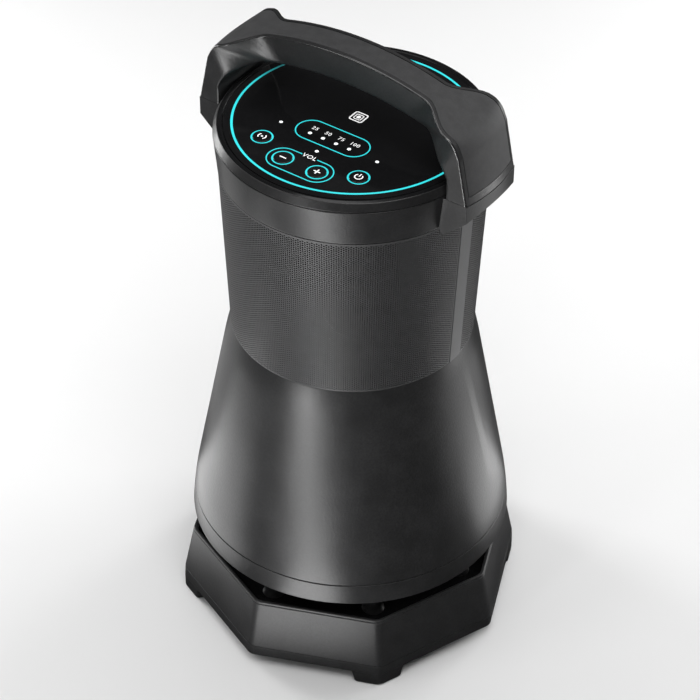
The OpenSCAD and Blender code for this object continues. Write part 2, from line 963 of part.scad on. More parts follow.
module driver_baskets() {
    flange = 3;
    color([0.2, 0.2, 0.21])
    at_drivers(diagonals)
        difference() {
            driver_turned([
                [0, driver_flange_r], [flange, driver_flange_r], [flange, driver_cup_r - driver_wall],
                [0, driver_cup_r - driver_wall], [-driver_depth, driver_back_r - driver_wall],
                [-driver_depth, 13], [-driver_depth - driver_wall, 13],
                [-driver_depth - driver_wall, driver_back_r], [-driver_depth, driver_back_r],
                [0, driver_cup_r]
            ]);
            rotate([0, 90, 0])
                around(diagonals, driver_screw_ring_r)
                cylinder(h = 4 * flange, r = driver_screw_r + run_gap, center = true);
            for (turn = quarters)
                rotate([turn + 45, 0, 0])
                translate([-driver_depth + 4, -9, driver_back_r - 4])
                cube([driver_depth - 9, 18, 20]);
        }
}

module driver_magnets() {
    back = driver_depth + driver_wall;
    color([0.3, 0.3, 0.31])
    at_drivers(diagonals)
        driver_turned([
            [-back, 11.5], [-back, driver_magnet_r], [-back - driver_magnet_t, driver_magnet_r],
            [-back - driver_magnet_t, 0], [-back, 0], [-back, 8.5],
            [-back - driver_magnet_t + 3, 8.5], [-back - driver_magnet_t + 3, 11.5]
        ]);
}

module driver_surrounds() {
    outer_r = driver_cup_r - driver_wall - fit_gap;
    inner_r = driver_cone_r + 0.4;
    mid = (outer_r + inner_r) / 2;
    roll_r = (outer_r - inner_r) / 2;
    base_x = 1;
    skin = 0.6;
    arc = [0:15:180];
    color([0.05, 0.05, 0.05])
    at_drivers(diagonals)
        driver_turned(concat(
            [for (a = arc) [base_x + skin / 2 + roll_r * sin(a), mid - roll_r * cos(a)]],
            [for (a = arc) [base_x + (roll_r - skin) * sin(a), mid + (roll_r - skin) * cos(a)]]
        ));
}

module driver_cone(turn) {
    rim_x = 2;
    neck_x = -9;
    neck_r = 9.6;
    skin = 0.8;
    color([0.14, 0.14, 0.14])
    at_drivers([turn])
        union() {
            driver_turned([
                [rim_x, driver_cone_r], [rim_x - skin, driver_cone_r],
                [neck_x - skin, neck_r], [neck_x, neck_r]
            ]);
            driver_turned(concat(
                [for (a = [0:15:90]) [neck_x - 0.2 + 4 * cos(a), (neck_r + 1) * sin(a)]],
                [[neck_x - 0.2 - skin, neck_r + 0.5], [neck_x - 0.2 - skin, 0]]
            ));
            driver_turned([
                [neck_x - 0.5, neck_r], [neck_x - 11, neck_r],
                [neck_x - 11, neck_r + 0.8], [neck_x - 0.5, neck_r + 0.8]
            ]);
        }
}

module driver_cone_front_right() {
    driver_cone(-45);
}

module driver_cone_front_left() {
    driver_cone(-135);
}

module driver_cone_rear_right() {
    driver_cone(45);
}

module driver_cone_rear_left() {
    driver_cone(135);
}

module driver_screws() {
    flange = 3;
    color([0.3, 0.3, 0.32])
    at_drivers(diagonals)
        rotate([0, 90, 0])
        around(diagonals, driver_screw_ring_r)
        screw_down(driver_screw_r, 2.2, 1.5, flange, 9);
}

module frame_screws() {
    color([0.3, 0.3, 0.32])
    around(quarters, frame_screw_ring_r) {
        screw_down(frame_screw_r, screw_head_r, screw_head_h, waist_z + frame_ring_t, 14);
        screw_down(frame_screw_r, screw_head_r, screw_head_h, top_floor_z + top_floor_t, 14);
    }
}

// A sheet that follows the grille's cone over an angle, between two depths
module grille_sheet(from_angle, to_angle, outer, inner) {
    low_z = waist_z + fit_gap;
    top_z = grille_top_z - fit_gap;
    rotate(from_angle)
        rotate_extrude(angle = to_angle - from_angle)
        polygon([
            [grille_r(low_z) + outer, low_z], [grille_r(top_z) + outer, top_z],
            [grille_r(top_z) + inner, top_z], [grille_r(low_z) + inner, low_z]
        ]);
}

strip_half_angle = asin(strip_w / 2 / grille_low_r);
sheet_half_angle = strip_half_angle + 0.4;

module grille_front() {
    color([0.09, 0.09, 0.095])
    grille_sheet(180 + sheet_half_angle, 360 - sheet_half_angle, 0, -sheet);
}

module grille_rear() {
    color([0.09, 0.09, 0.095])
    grille_sheet(sheet_half_angle, 180 - sheet_half_angle, 0, -sheet);
}

module grille_strip() {
    rib_half_w = 2;
    low_z = waist_z + fit_gap;
    top_z = grille_top_z - fit_gap;
    union() {
        grille_sheet(-strip_half_angle, strip_half_angle, 0.4, -sheet);
        rotate([90, 0, 0])
            linear_extrude(height = 2 * rib_half_w, center = true)
            polygon([
                [frame_r + fit_gap, low_z], [grille_r(low_z) - sheet / 2, low_z],
                [grille_r(top_z) - sheet / 2, top_z], [frame_r + fit_gap, top_z]
            ]);
    }
}

module grille_strip_right() {
    color([0.2, 0.2, 0.205])
    grille_strip();
}

module grille_strip_left() {
    color([0.2, 0.2, 0.205])
    rotate(180)
        grille_strip();
}

module top_housing() {
    floor_z = top_floor_z + top_floor_t;
    cable_hole_r = 4;
    color([0.1, 0.1, 0.105])
    difference() {
        union() {
            rotate_extrude()
                polygon([
                    [0, top_floor_z], [band_low_r - top_wall, top_floor_z],
                    [band_low_r - top_wall, grille_top_z], [band_low_r, grille_top_z],
                    [band_top_r, band_top_z], [band_top_r - top_wall, band_top_z],
                    [band_r(floor_z) - top_wall, floor_z], [0, floor_z]
                ]);
            around(diagonals, board_post_ring_r)
                post(board_post_r, floor_z - fit_gap, control_board_z);
        }
        translate([0, cable_route[8][1], 0])
            post(cable_hole_r, top_floor_z - over, floor_z + over);
        around(quarters, frame_screw_ring_r)
            post(frame_screw_r + run_gap, top_floor_z - over, floor_z + over);
        handle_screw_holes();
    }
}

module top_bezel() {
    round_points = 6;
    color([0.12, 0.12, 0.125])
    union() {
        rotate_extrude()
            polygon(concat(
                [
                    [ledge_in_r, band_top_z - ledge_t / 2],
                    [band_top_r - top_wall - 3 * fit_gap, band_top_z - ledge_t / 2],
                    [band_top_r - top_wall - 3 * fit_gap, band_top_z],
                    [band_top_r - groove, band_top_z], [band_top_r - groove, band_top_z + groove]
                ],
                [for (i = [0:round_points])
                    bend([band_top_r, band_top_z + groove], [band_top_r - 0.4, crown_z], [crown_r, crown_z],
                        i / round_points)],
                [
                    [crown_r - bezel_edge, crown_z - 0.2], [panel_r + panel_gap, panel_z],
                    [panel_r + panel_gap, panel_low_z - fit_gap], [ledge_in_r, panel_low_z - fit_gap]
                ]
            ));
        around(diagonals, band_top_r - top_wall - clip_t - 2)
            translate([0, -clip_w / 2, band_top_z - ledge_t / 2 - clip_len])
            cube([clip_t, clip_w, clip_len + fit_gap]);
    }
}

// A stadium shape on the panel: two round ends at plus and minus x, joined
module stadium(x, y, r) {
    translate([-x, -y])
        circle(r = r);
    translate([x, -y])
        circle(r = r);
    translate([-x, -y - r])
        square([2 * x, 2 * r]);
}

// The lit outlines: a line of one width around a stadium
module outline_2d(x, y, spare) {
    difference() {
        stadium(x, y, outline_r + outline_w / 2 + spare);
        stadium(x, y, outline_r - outline_w / 2 - spare);
    }
}

// Both outlines as solids, the volume one open at the back for its label
module outlines(spare, low_z, top_z) {
    translate([0, 0, low_z])
        linear_extrude(height = top_z - low_z)
        outline_2d(battery_x, battery_y, spare);
    translate([0, 0, low_z])
        linear_extrude(height = top_z - low_z)
        difference() {
            outline_2d(volume_x, volume_y, spare);
            translate([-outline_gap_half_w, -volume_y])
                square([2 * outline_gap_half_w, 2 * outline_r]);
        }
}

// The children at each button's place
module at_buttons() {
    for (side = [-1, 1]) {
        translate([side * volume_x, -volume_y, 0])
            children();
        translate([side * side_x, -side_y, 0])
            children();
    }
}

// The seven indicator lights: four of the battery gauge and three small ones
module indicator_posts(spare, low_z, top_z) {
    for (i = [-1.5:1:1.5])
        translate([i * dot_pitch, -dot_y, 0])
        post(dot_r + spare, low_z, top_z);
    for (place = [[-36.9, -28.3], [36.9, -28.3], [0, -41]])
        translate([place[0], place[1], 0])
        post(small_dot_r + spare, low_z, top_z);
}

module control_panel() {
    color([0.03, 0.03, 0.035])
    difference() {
        post(panel_r, panel_low_z, panel_z);
        at_buttons()
            post(button_light_r + fit_gap / 2, panel_low_z - over, panel_z + over);
        tube(ring_r + ring_w / 2 + fit_gap / 2, ring_r - ring_w / 2 - fit_gap / 2,
            panel_z - outline_depth, panel_z + over);
        outlines(fit_gap / 2, panel_z - outline_depth, panel_z + over);
        indicator_posts(fit_gap / 2, panel_low_z - over, panel_z + over);
    }
}

module light_ring() {
    color([0.1, 0.8, 0.8])
    tube(ring_r + ring_w / 2, ring_r - ring_w / 2, panel_z - outline_depth, panel_z + light_proud);
}

module light_guides() {
    color([0.1, 0.8, 0.8])
    at_buttons()
        tube(button_light_r, button_r + button_gap, light_low_z, panel_z + light_proud);
    color([0.1, 0.8, 0.8])
    outlines(0, panel_z - outline_depth, panel_z + light_proud);
}

module indicator_lenses() {
    color([0.9, 0.95, 0.95])
    indicator_posts(0, panel_low_z, panel_z + light_proud);
}

module button(x, y) {
    color([0.04, 0.04, 0.045])
    translate([x, -y, 0])
        union() {
            post(stem_r, stem_low_z, cap_low_z + fit_gap);
            post(cap_flange_r, cap_low_z, cap_low_z + cap_flange_t);
            post(button_r, cap_low_z, panel_z + button_proud - 0.4);
            translate([0, 0, panel_z + button_proud - 0.4])
                cylinder(h = 0.4, r1 = button_r, r2 = button_r - 0.4);
        }
}

module pairing_button() {
    button(-side_x, side_y);
}

module volume_down_button() {
    button(-volume_x, volume_y);
}

module volume_up_button() {
    button(volume_x, volume_y);
}

module power_button() {
    button(side_x, side_y);
}

module button_mat() {
    low_z = control_board_z + board_t;
    dome_z = stem_low_z - button_travel - 0.2;
    color([0.85, 0.85, 0.85])
    union() {
        intersection() {
            post(control_board_r - 2, low_z, low_z + mat_t);
            translate([-mat_half_w, -control_board_r, low_z])
                cube([2 * mat_half_w, mat_depth, mat_t]);
        }
        at_buttons()
            post(dome_r, low_z, dome_z);
    }
}

module control_board() {
    color([0.05, 0.25, 0.12])
    difference() {
        post(control_board_r, control_board_z, control_board_z + board_t);
        around(diagonals, board_post_ring_r)
            post(1.2, control_board_z - over, control_board_z + board_t + over);
    }
}

// Side outline of the handle's outer face, sunk by a depth, as half an arch
function arch_half(depth) = concat(
    [for (i = [0:curve_points])
        let (x = shoulder_start_x * i / curve_points) [x, arch_z(x) - depth]],
    [for (i = [1:curve_points])
        bend(
            [shoulder_start_x, arch_z(shoulder_start_x) - depth],
            [shoulder[0] - depth, shoulder[1] - depth],
            [leg_r - leg_lean * (shoulder_end_z - leg_z) - depth, shoulder_end_z],
            i / curve_points
        )]
);

// Side outline of the handle's inner face, as half an arch
function under_half() = concat(
    [for (i = [0:curve_points])
        let (x = under_end_x * i / curve_points) [x, under_z(x)]],
    [for (i = [1:curve_points])
        bend([under_end_x, under_z(under_end_x)], crook, [leg_inner_x, crook_end_z],
            i / curve_points)]
);

// Everything inside the handle's outer face, sunk by a depth, above a height
module handle_outside(depth, low_z) {
    half = arch_half(depth);
    foot_x = leg_r - leg_lean * (low_z - leg_z) - depth;
    outline = concat([[foot_x + over, low_z]], [for (i = [len(half) - 1:-1:1]) half[i]]);
    intersection() {
        rotate([90, 0, 0])
            linear_extrude(height = 4 * leg_half_w, center = true)
            polygon(concat(outline, [half[0]], mirrored(outline)));
        translate([0, 0, low_z])
            cylinder(
                h = handle_z - low_z,
                r1 = leg_r - leg_lean * (low_z - leg_z) - depth,
                r2 = leg_r - leg_lean * (handle_z - leg_z) - depth
            );
    }
}

// The handle's outline from above, made narrower by an inset
module handle_plan(inset, low_z) {
    edge = concat(
        [[0, bar_half_w - inset]],
        [for (i = [0:curve_points])
            let (x = flare_start_x + (flare_end_x - flare_start_x) * i / curve_points)
            [x, handle_half_w(x) - inset]],
        [[leg_r + 2 * over, leg_half_w - inset]]
    );
    upper = concat(mirrored(edge), [for (i = [1:len(edge) - 1]) edge[i]]);
    translate([0, 0, low_z])
        linear_extrude(height = handle_z - low_z)
        polygon(concat(upper, [for (i = [len(upper) - 1:-1:0]) [upper[i][0], -upper[i][1]]]));
}

// The open space under the handle, as a block along Y
module handle_gap() {
    half = concat(under_half(), [[leg_inner_x, leg_z - over]]);
    rotate([90, 0, 0])
        linear_extrude(height = 4 * leg_half_w, center = true)
        polygon(concat([for (i = [len(half) - 1:-1:1]) half[i]], [half[0]],
            mirrored([for (i = [len(half) - 1:-1:1]) half[i]])));
}

// Holes for the four screws that hold the brackets, along X
module handle_screw_holes() {
    for (side = [-1, 1])
        translate([0, side * handle_screw_y, handle_screw_z])
        rotate([0, 90, 0])
        cylinder(h = 4 * leg_r, r = handle_screw_r + run_gap, center = true);
}

module handle_shell() {
    clear_r = band_top_r + housing_clear;
    color([0.1, 0.1, 0.105])
    difference() {
        intersection() {
            handle_outside(0, leg_z + fit_gap);
            handle_plan(0, leg_z);
        }
        handle_gap();
        post(clear_r, leg_z - over, crown_z + over);
        difference() {
            handle_plan(grip_inset - grip_groove, grip_end_z - grip_groove);
            handle_outside(grip_t, leg_z);
        }
    }
}

module handle_grip() {
    color([0.07, 0.07, 0.072])
    difference() {
        intersection() {
            handle_outside(0, grip_end_z);
            handle_plan(grip_inset, grip_end_z);
        }
        handle_outside(grip_t - fit_gap / 2, leg_z);
    }
}

// The bracket under a leg, hugging the top housing
module handle_bracket() {
    foot_y = leg_half_w;
    difference() {
        intersection() {
            rotate([90, 0, 0])
                linear_extrude(height = 2 * foot_y, center = true)
                polygon([
                    [bracket_foot_x - 6, bracket_low_z], [bracket_foot_x, bracket_low_z],
                    [bracket_r, bracket_knee_z], [bracket_r, leg_z], [bracket_foot_x - 6, leg_z]
                ]);
            post(bracket_r, bracket_low_z - over, leg_z);
        }
        translate([0, 0, grille_top_z])
            cylinder(h = band_top_z - grille_top_z, r1 = band_low_r + fit_gap, r2 = band_top_r + fit_gap);
        translate([0, 0, waist_z])
            cylinder(h = grille_top_z - waist_z + over / 100, r1 = grille_low_r + 2 * fit_gap + 0.4,
                r2 = grille_top_r + 2 * fit_gap + 0.4);
        for (side = [-1, 1])
            translate([band_low_r - over, side * handle_screw_y, handle_screw_z])
            rotate([0, 90, 0])
            cylinder(h = 12, r = handle_screw_r + run_gap);
    }
}

module handle_bracket_right() {
    color([0.1, 0.1, 0.105])
    handle_bracket();
}

module handle_bracket_left() {
    color([0.1, 0.1, 0.105])
    rotate(180)
        handle_bracket();
}

module handle_screws() {
    seat_x = band_r(handle_screw_z) - top_wall - 2;
    color([0.3, 0.3, 0.32])
    for (turn = [0, 180])
        rotate(turn)
        for (side = [-1, 1])
            translate([seat_x, side * handle_screw_y, handle_screw_z])
            rotate([0, 90, 0])
            screw_up(handle_screw_r, screw_head_r + 0.6, screw_head_h, 0, 14);
}

// A round tube along the route's smooth curve, as one closed skin
module control_cable() {
    last = len(cable_route) - 1;
    spans = [for (i = [0:last - 1]) [
        cable_route[max(0, i - 1)], cable_route[i], cable_route[i + 1], cable_route[min(last, i + 2)]
    ]];
    line = concat(
        [for (s = spans) for (k = [0:cable_rings_per_span - 1])
            smooth(s[0], s[1], s[2], s[3], k / cable_rings_per_span)],
        [cable_route[last]]
    );
    count = len(line);
    points = [for (i = [0:count - 1])
        let (
            along = unit(line[min(count - 1, i + 1)] - line[max(0, i - 1)]),
            across = unit(cross(along, [1, 0, 0])),
            side = cross(along, across)
        )
        for (k = [0:cable_sides - 1])
            line[i] + cable_r * (cos(360 * k / cable_sides) * across + sin(360 * k / cable_sides) * side)
    ];
    walls = [for (i = [0:count - 2]) for (k = [0:cable_sides - 1])
        let (a = i * cable_sides + k, b = i * cable_sides + (k + 1) % cable_sides)
        [a, b, b + cable_sides, a + cable_sides]
    ];
    ends = [
        [for (k = [cable_sides - 1:-1:0]) k],
        [for (k = [0:cable_sides - 1]) (count - 1) * cable_sides + k]
    ];
    color([0.1, 0.1, 0.1])
    polyhedron(points = points, faces = concat(walls, ends));
}

base_plate();
foot_pads();
base_plate_screws();
base_shell();
sound_deflector();
pillars();
pillar_screws();
skirt_ring();
cabinet_shell();
woofer_basket();
woofer_yoke();
woofer_magnet();
woofer_surround();
woofer_spider();
woofer_cone();
woofer_dust_cap();
woofer_voice_coil();
woofer_screws();
jack_panel();
port_cover();
port_cover_pin();
power_inlet();
audio_jack();
usb_port();
battery_cells();
battery_holder();
main_board();
partition_plate();
driver_frame();
driver_baskets();
driver_magnets();
driver_surrounds();
driver_cone_front_right();
driver_cone_front_left();
driver_cone_rear_right();
driver_cone_rear_left();
driver_screws();
frame_screws();
grille_front();
grille_rear();
grille_strip_right();
grille_strip_left();
top_housing();
top_bezel();
control_panel();
light_ring();
light_guides();
indicator_lenses();
pairing_button();
volume_down_button();
volume_up_button();
power_button();
button_mat();
control_board();
handle_shell();
handle_grip();
handle_bracket_right();
handle_bracket_left();
handle_screws();
control_cable();
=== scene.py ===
# Party speaker: the looks of an octagonal base on feet, a bell-shaped cabinet, a
# perforated grille, a lit control top and a carrying handle. Shapes are worked out
# in millimetres and put into meshes in metres.

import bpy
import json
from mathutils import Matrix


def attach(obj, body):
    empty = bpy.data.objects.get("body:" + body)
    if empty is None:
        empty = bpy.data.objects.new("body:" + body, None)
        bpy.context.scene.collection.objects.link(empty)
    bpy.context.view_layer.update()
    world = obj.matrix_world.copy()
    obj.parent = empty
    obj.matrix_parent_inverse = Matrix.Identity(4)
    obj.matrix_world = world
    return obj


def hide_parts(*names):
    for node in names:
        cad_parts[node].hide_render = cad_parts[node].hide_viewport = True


bl_info = {
    "name": "Party speaker",
    "version": (1, 0, 0),
    "blender": (4, 5, 0),
    "location": "View3D > Sidebar > Speaker",
    "description": "Builds a party speaker piece by piece around its fixed frame",
    "category": "Add Mesh",
}

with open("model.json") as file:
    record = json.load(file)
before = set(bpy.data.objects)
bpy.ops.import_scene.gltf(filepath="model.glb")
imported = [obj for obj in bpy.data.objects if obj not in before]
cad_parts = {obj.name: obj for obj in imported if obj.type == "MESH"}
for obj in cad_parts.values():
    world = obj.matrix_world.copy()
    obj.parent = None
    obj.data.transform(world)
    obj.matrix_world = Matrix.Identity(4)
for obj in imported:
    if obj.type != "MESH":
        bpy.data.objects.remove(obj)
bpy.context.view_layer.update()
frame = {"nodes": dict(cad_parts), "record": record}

import json
import math

import bmesh
import bpy
import numpy as np
from bpy.props import FloatProperty, FloatVectorProperty, PointerProperty
from mathutils import Matrix, Vector

MM = 0.001
FULL = 2 * math.pi
# Steps round a turned piece, and half the angle between the octagon's corners
RING, HALF_EIGHTH = 240, math.radians(22.5)
SLOT_OF = {row["node"]: row["material_slot"] for row in frame["record"]["subparts"]}

# Heights and radii of the base
BASE_R, SEAM_R, RIM_R = 121.0, 120.6, 113.1
FOOT_Z, PLATE_Z, PLATE_TOP_Z, SEAM_Z, DECK_Z, RIM_Z = 0.4, 10.0, 13.0, 18.0, 49.0, 55.7
FOOT_LOW_HALF, FOOT_TOP_HALF, FOOT_INNER_R = 16.2, 18.4, 96.0
BASE_WALL, GROOVE, PILLAR_RING_R = 3.25, 0.6, 92.0
# Body
SKIRT_Z, SKIRT_SEAM_Z, WAIST_Z = 72.5, 88.0, 237.5
SKIRT_WALL, CABINET_WALL = 4.0, 3.2
FLANGE_R, FLANGE_LOW_Z, FLANGE_TOP_Z = 80.0, 80.0, 84.0
GRILLE_LOW_R, GRILLE_TOP_R, GRILLE_TOP_Z, SHEET = 81.8, 87.5, 362.0, 0.8
# Radius at which the grille's columns have the wanted pitch
PITCH_R = 85.5
STRIP_HALF_ANGLE = math.asin(5.75 / GRILLE_LOW_R)
SHEET_EDGE_ANGLE = STRIP_HALF_ANGLE + math.radians(0.4)
# Control top
BAND_LOW_R, BAND_TOP_R, BAND_TOP_Z, TOP_WALL = 87.7, 90.2, 388.0, 3.0
CROWN_R, CROWN_Z, PANEL_R, PANEL_Z = 86.8, 394.3, 83.5, 393.8
PANEL_LOW_Z, BEZEL_INNER_R, FLOOR_LOW_Z, FLOOR_TOP_Z = 390.5, 80.0, 366.0, 369.0
BUTTONS = {
    "pairing": (-37.0, -48.4),
    "volume_down": (-13.0, -59.0),
    "volume_up": (13.0, -59.0),
    "power": (37.0, -48.4),
}
BUTTON_R, BUTTON_Z, COLLAR_R, COLLAR_LOW_Z, COLLAR_TOP_Z = 6.1, 394.3, 7.4, 387.2, 388.3
LIGHT_RING_R, BUTTON_LIGHT_R, DOT_R, SMALL_DOT_R = 77.9, 7.25, 1.3, 1.2
STADIUM_R, VOLUME_GAP = 10.4, 5.4
# Handle
LEG_R, LEG_Z, LEG_LEAN, LEG_INNER_X = 106.0, 386.5, 0.2, 87.5
ARCH_R, HANDLE_Z, UNDER_R, BAR_T = 221.0, 449.0, 240.0, 20.0
# Where the bar ends on its outer and inner side, and where the legs, the pocket and the grip end
BAR_X, UNDER_X, SHOULDER_Z, CROOK_Z, POCKET_LOW_Z, GRIP_LOW_Z = 86.0, 62.0, 419.0, 400.0, 391.65, 392.0
# Distance from the handle's edge to the pocket's edge, the grip's flat part and the inner face's flat part
POCKET_IN, GRIP_IN, FLOOR_IN = 3.15, 4.1, 1.3
CLEAR_R, CLEAR_Z = 90.6, 395.3
BRACKET_R, EAR_HALF, EAR_LOW_R, EAR_LOW_Z, KNEE_Z, EAR_TOP_Z = 106.4, 27.5, 86.0, 358.5, 376.5, 386.3
# Rear recess and its cover
RECESS_X, RECESS_LOW_Z, RECESS_TOP_Z = 30.0, 103.0, 133.0
HINGE_Y, HINGE_Z, KNUCKLE_R = 100.43, 130.0, 2.0
NOTCH_X, NOTCH_Z = (12.0, 24.0), 127.6


def body_r(z):
    """101.7 + 0.186 (135 - z), less 0.0017 (108 - z)^2 below 108, less 0.0028 (z - 219)^2 above 219."""
    z = np.asarray(z, float)
    below, above = np.clip(108 - z, 0, None), np.clip(z - 219, 0, None)
    return 101.7 + 0.186 * (135 - z) - 0.0017 * below**2 - 0.0028 * above**2


def grille_r(z):
    """Straight line from the waist's radius to the radius under the control top."""
    return np.interp(z, [WAIST_Z, GRILLE_TOP_Z], [GRILLE_LOW_R, GRILLE_TOP_R])


def on_grille(angle, z, out):
    """(r cos a, r sin a, z), where r is grille_r(z) and a distance outwards."""
    r = grille_r(z) + out
    return np.stack([r * np.cos(angle), r * np.sin(angle), z + 0 * angle], -1)


def band_r(z):
    """Straight line between the radii of the top housing's two edges."""
    return np.interp(z, [GRILLE_TOP_Z, BAND_TOP_Z], [BAND_LOW_R, BAND_TOP_R])


def smoothstep(x):
    """3 x^2 - 2 x^3, with x held between 0 and 1."""
    x = np.clip(x, 0, 1)
    return x * x * (3 - 2 * x)


def bend(a, b, c, t):
    """(1 - t)^2 a + 2 t (1 - t) b + t^2 c, one point for each t."""
    t = np.asarray(t, float)[:, None]
    return (1 - t) ** 2 * np.array(a) + 2 * t * (1 - t) * np.array(b) + t * t * np.array(c)


def around(angle):
    """(cos a, sin a) for each angle."""
    return np.stack([np.cos(angle), np.sin(angle)], axis=-1)


def grid(rows, cols, round_rows=False, round_cols=False):
    """Faces (i, j), (i, j + 1), (i + 1, j + 1), (i + 1, j) of a grid numbered row by row."""
    i = np.arange(rows if round_rows else rows - 1)[:, None]
    j = np.arange(cols if round_cols else cols - 1)[None, :]
    k, m = (i + 1) % rows, (j + 1) % cols
    return np.stack([i * cols + j, i * cols + m, k * cols + m, k * cols + j], -1).reshape(-1, 4)


def rounded(corners, radii, closed=True, steps=5):
    """Outline whose corner P is (1 - t)^2 A + 2 t (1 - t) P + t^2 B, with A and B the radius away from P.

    A short straight step before A and after B keeps the flat parts flat."""
    p = np.asarray(corners, float)
    r = np.broadcast_to(np.asarray(radii, float), len(p))[:, None]
    ends = []
    for other in (np.roll(p, 1, 0), np.roll(p, -1, 0)):
        away = other - p
        length = np.maximum(np.linalg.norm(away, axis=1, keepdims=True), 1e-9)
        ends.append(p + away / length * np.minimum(r, 0.42 * length))
    a, b = ends
    t = np.linspace(0, 1, steps)[:, None, None]
    curve = (1 - t) ** 2 * a + 2 * t * (1 - t) * p + t * t * b
    rows = np.concatenate([[a + 0.15 * (a - p)], curve, [b + 0.15 * (b - p)]]).transpose(1, 0, 2)
    if closed:
        return rows.reshape(-1, 2)
    return np.concatenate([p[:1], rows[1:-1].reshape(-1, 2), p[-1:]])


def turned(outline, closed=True, steps=RING):
    """Surface (r cos a, r sin a, z) of an outline of (r, z) points carried round Z."""
    r, z = np.asarray(outline, float).T
    points = np.empty((len(r), steps, 3))
    points[..., :2] = r[:, None, None] * around(np.arange(steps) * FULL / steps)
    points[..., 2] = z[:, None]
    return points.reshape(-1, 3), [grid(len(r), steps, closed, True)]


def octagonal(outline, corner_bend, closed=True, steps=7):
    """Outline of (r, z) points carried round an octagon with corners on the axes.

    A corner at angle c is the arc (r - b / cos 22.5) (cos c, sin c) + b (cos(c + t), sin(c + t))
    for t from -22.5 to 22.5 degrees, with a short straight step at each end."""
    r, z = np.asarray(outline, float).T
    b = np.minimum(corner_bend, 0.3 * r)[:, None, None, None]
    half = HALF_EIGHTH
    corner = (np.arange(8) * 2 * half)[:, None]
    turn = np.linspace(-half, half, steps)[None, :]
    middle = (r[:, None, None, None] - b / math.cos(half)) * around(corner)[None]
    arc = middle + b * around(corner + turn)[None]
    back, step = (
        0.25 * b * np.stack([-np.sin(corner + side), np.cos(corner + side)], -1) for side in (-half, half)
    )
    arc = np.concatenate([arc[:, :, :1] - back, arc, arc[:, :, -1:] + step], 2)
    flat = arc.reshape(len(r), -1, 2)
    points = np.concatenate([flat, np.broadcast_to(z[:, None, None], flat.shape[:2] + (1,))], -1)
    return points.reshape(-1, 3), [grid(len(r), flat.shape[1], closed, True)]


def lofted(sections):
    """Closed sections (n, m, 3) joined one after another, with a flat cap on the first and the last."""
    n, m, _ = sections.shape
    caps = np.array([np.arange(m)[::-1], (n - 1) * m + np.arange(m)])
    return sections.reshape(-1, 3), [grid(n, m, False, True), caps]


def slab(outer, inner):
    """Closed plate between two grids (n, m, 3): both faces and the wall round their edge."""
    n, m, _ = outer.shape
    number = np.arange(n * m).reshape(n, m)
    edge = np.concatenate([number[0, :-1], number[:-1, -1], number[-1, :0:-1], number[:0:-1, 0]])
    far = np.roll(edge, -1)
    wall = np.stack([far, edge, edge + n * m, far + n * m], -1)
    points = np.concatenate([outer.reshape(-1, 3), inner.reshape(-1, 3)])
    return points, [grid(n, m), grid(n, m)[:, ::-1] + n * m, wall]


def ribbon(path, width, low_z, top_z, closed=False):
    """Flat band: each path point moved by half the width along the path's normal to both sides."""
    path = np.asarray(path, float)
    if closed:
        along = np.roll(path, -1, 0) - np.roll(path, 1, 0)
    else:
        along = np.gradient(path, axis=0)
    across = np.stack([-along[:, 1], along[:, 0]], -1)
    across *= width / 2 / np.linalg.norm(across, axis=1, keepdims=True)
    sides = [(path + across, top_z), (path - across, top_z), (path - across, low_z), (path + across, low_z)]
    rows = np.stack([np.column_stack([side, np.full(len(path), z)]) for side, z in sides], 1)
    if closed:
        return rows.reshape(-1, 3), [grid(len(path), 4, True, True)]
    return lofted(rows)


def joined(*shells):
    """Shells as one, each one's corner numbers moved on by the points before it."""
    points, faces, count = [], [], 0
    for shell_points, shell_faces in shells:
        points.append(shell_points)
        faces += [f + count for f in shell_faces]
        count += len(shell_points)
    return np.concatenate(points), faces


def moved(shell, angle=0.0, offset=(0, 0, 0)):
    """Every point turned by an angle about Z, then shifted."""
    points, faces = shell
    c, s = math.cos(angle), math.sin(angle)
    return points @ np.array([[c, s, 0], [-s, c, 0], [0, 0, 1]]) + np.array(offset, float), faces


def dress(obj, body, finishes, stands_for=()):
    """Gives a piece its finishes, its body and the nodes that it stands for."""
    for finish in finishes:
        obj.data.materials.append(bpy.data.materials[finish])
    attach(obj, body)
    if stands_for:
        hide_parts(*stands_for)
    return obj


def placed(name, data):
    """A new object of the scene that holds some data."""
    obj = bpy.data.objects.new(name, data)
    bpy.context.scene.collection.objects.link(obj)
    return obj


def piece(
    name, shell, body, slot, stands_for=(), finishes=None, picks=None, sharp=32.0, soften=0.0, wall=0.0
):
    """A mesh object from a shell in millimetres, smooth between edges sharper than an angle.

    picks holds each face's finish number. soften is the width of a bevel, wall the thickness of a shell."""
    points, faces = shell
    corners = np.concatenate([f.ravel() for f in faces])
    sizes = np.concatenate([np.full(len(f), f.shape[1]) for f in faces])
    mesh = bpy.data.meshes.new(name)
    mesh.vertices.add(len(points))
    mesh.vertices.foreach_set("co", (points * MM).ravel())
    mesh.loops.add(len(corners))
    mesh.loops.foreach_set("vertex_index", corners)
    mesh.polygons.add(len(sizes))
    mesh.polygons.foreach_set("loop_start", np.cumsum(sizes) - sizes)
    if picks is not None:
        mesh.polygons.foreach_set("material_index", np.asarray(picks, np.int32))
    mesh.update(calc_edges=True)
    settle(mesh, sharp)
    obj = placed(name, mesh)
    if wall:
        solid = obj.modifiers.new("wall", "SOLIDIFY")
        solid.thickness, solid.offset = wall * MM, -1
    if soften:
        edge = obj.modifiers.new("soft edge", "BEVEL")
        edge.width, edge.segments, edge.limit_method = soften * MM, 3, "ANGLE"
        edge.angle_limit = math.radians(sharp)
        edge.harden_normals = True
    return dress(obj, body, finishes or [slot], stands_for)


